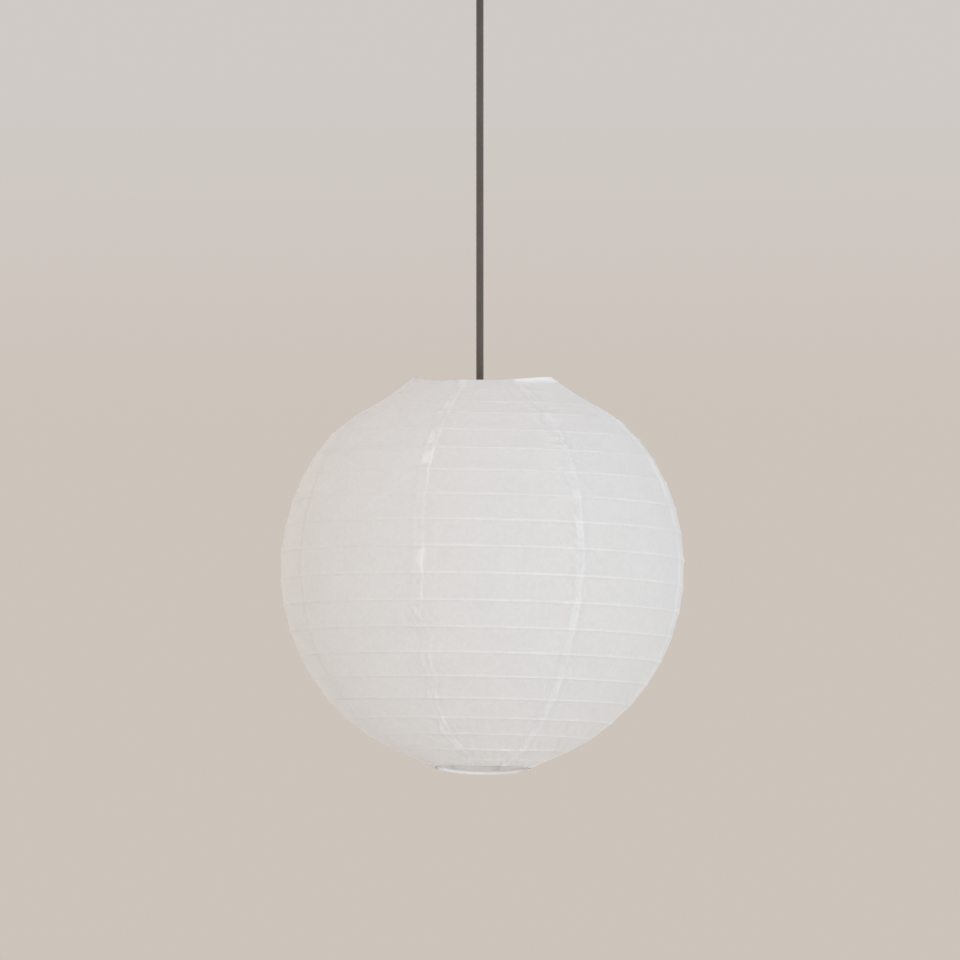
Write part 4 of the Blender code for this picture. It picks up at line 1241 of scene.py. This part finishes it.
def finish_carried(node, material, ease):
    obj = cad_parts[node]
    obj.data.materials.clear()
    obj.data.materials.append(material)
    if ease is None:
        return
    joined = obj.modifiers.new("joined_corners", "WELD")
    joined.merge_threshold = 0.00001
    eased = obj.modifiers.new("eased_edges", "BEVEL")
    eased.width = ease * MM
    eased.segments = 3
    eased.limit_method = "ANGLE"
    eased.angle_limit = math.radians(50)
    eased.use_clamp_overlap = True
    eased.harden_normals = True


# ------------------------------------------------------------------ stage, light and camera
FLOOR_Z = -2.3
FLOOR_HALF = 12.0
ROOM_WARM, ROOM_COOL = (0.962, 0.896, 0.842), (0.796, 0.872, 0.972)     # from left and right
OVERHEAD = (0.90, 0.862, 0.85)          # a little less, and warmer, from straight above
ROOM_STRENGTH = 1.09
WALL_LOW, WALL_HIGH = (0.609, 0.549, 0.494), (0.630, 0.592, 0.566)      # as the camera sees it


def build_floor():
    """A pale floor, clear when seen from below."""
    mat = Material("studio_floor")
    cloud = mat.noise(mat.coords(), scale=1.3, detail=3.0)
    mat.surface({
        "Base Color": mat.ramp(cloud, stops=[(0.3, (0.84, 0.82, 0.795)), (0.7, (0.88, 0.86, 0.835))]),
        "Roughness": 0.75,
    })
    below = mat.add("ShaderNodeNewGeometry").outputs["Backfacing"]
    clear = mat.add("ShaderNodeBsdfTransparent").outputs[0]
    mat.output(mat.mix_shader(mat.bsdf.outputs[0], clear, share=below))
    mesh = bpy.data.meshes.new("studio_floor")
    corners = ((-1, -1), (1, -1), (1, 1), (-1, 1))
    mesh.from_pydata([(x * FLOOR_HALF, y * FLOOR_HALF, FLOOR_Z) for x, y in corners], [],
                     [(0, 1, 2, 3)])
    mesh.materials.append(mat.data)
    floor = bpy.data.objects.new("studio_floor", mesh)
    bpy.context.scene.collection.objects.link(floor)


def build_world():
    """Soft light from all round; the camera sees a plain wall colour instead."""
    world = bpy.data.worlds.new("soft_room")
    bpy.context.scene.world = world
    world.use_nodes = True
    nodes = ShaderNodes(world.node_tree)
    separate = nodes.add("ShaderNodeSeparateXYZ")
    place = nodes.add("ShaderNodeTexCoord")
    nodes.put(place.outputs["Generated"], separate.inputs[0])

    def from_zero(axis):
        """Direction along an axis, -1..1 brought to 0..1."""
        return nodes.math("MULTIPLY_ADD", separate.outputs[axis], 0.5, 0.5)

    sides = nodes.ramp(from_zero("X"), stops=[(0.0, ROOM_WARM), (1.0, ROOM_COOL)])
    above = nodes.ramp(from_zero("Z"), stops=[(0.5, (1, 1, 1)), (1.0, OVERHEAD)])
    light = world.node_tree.nodes["Background"]
    nodes.put(nodes.mix(sides, above, share=1.0, blend="MULTIPLY"), light.inputs["Color"])
    nodes.put(ROOM_STRENGTH, light.inputs["Strength"])
    seen = nodes.add("ShaderNodeBackground")
    wall = nodes.ramp(from_zero("Z"), stops=[(0.545, WALL_LOW), (0.575, WALL_HIGH)])
    nodes.put(wall, seen.inputs["Color"])
    nodes.put(1.0, seen.inputs["Strength"])
    camera_ray = nodes.add("ShaderNodeLightPath").outputs["Is Camera Ray"]
    shader = nodes.mix_shader(light.outputs[0], seen.outputs[0], share=camera_ray)
    nodes.put(shader, world.node_tree.nodes["World Output"].inputs["Surface"])


def area_light(name, place, target, size, power, colour):
    data = bpy.data.lights.new(name, "AREA")
    data.shape = "DISK"
    data.size = size
    data.energy = power
    data.color = colour
    obj = bpy.data.objects.new(name, data)
    bpy.context.scene.collection.objects.link(obj)
    obj.location = place
    obj.rotation_mode = "QUATERNION"
    obj.rotation_quaternion = (Vector(target) - Vector(place)).to_track_quat("-Z", "Y")
    obj.visible_camera = False


def build_camera(place, tilt_up, lens):
    """A long lens from the front; tilt_up is in degrees above level."""
    data = bpy.data.cameras.new("camera")
    data.sensor_width = 36.0
    data.lens = lens
    data.clip_start, data.clip_end = 0.1, 60.0
    camera = bpy.data.objects.new("camera", data)
    bpy.context.scene.collection.objects.link(camera)
    camera.location = place
    camera.rotation_euler = (math.radians(90 + tilt_up), 0, 0)
    bpy.context.scene.camera = camera


build_shade()
build_expander()
build_lampholder()
build_bulb()
build_cord()
build_ceiling()
for carried in CARRIED:
    finish_carried(*carried)

build_floor()
build_world()
# from the front right, a little below the shade's middle
area_light("key_window", place=(1.8, -3.4, -0.85), target=(0.0, 0.0, CENTRE_Z * MM), size=0.8,
           power=29.5, colour=(0.81, 0.945, 1.0))
build_camera(place=(0.0001, -4.37, CENTRE_Z * MM - 0.252), tilt_up=4.316, lens=189.0)
bpy.context.scene.view_settings.view_transform = "Standard"
bpy.context.scene.view_settings.look = "None"
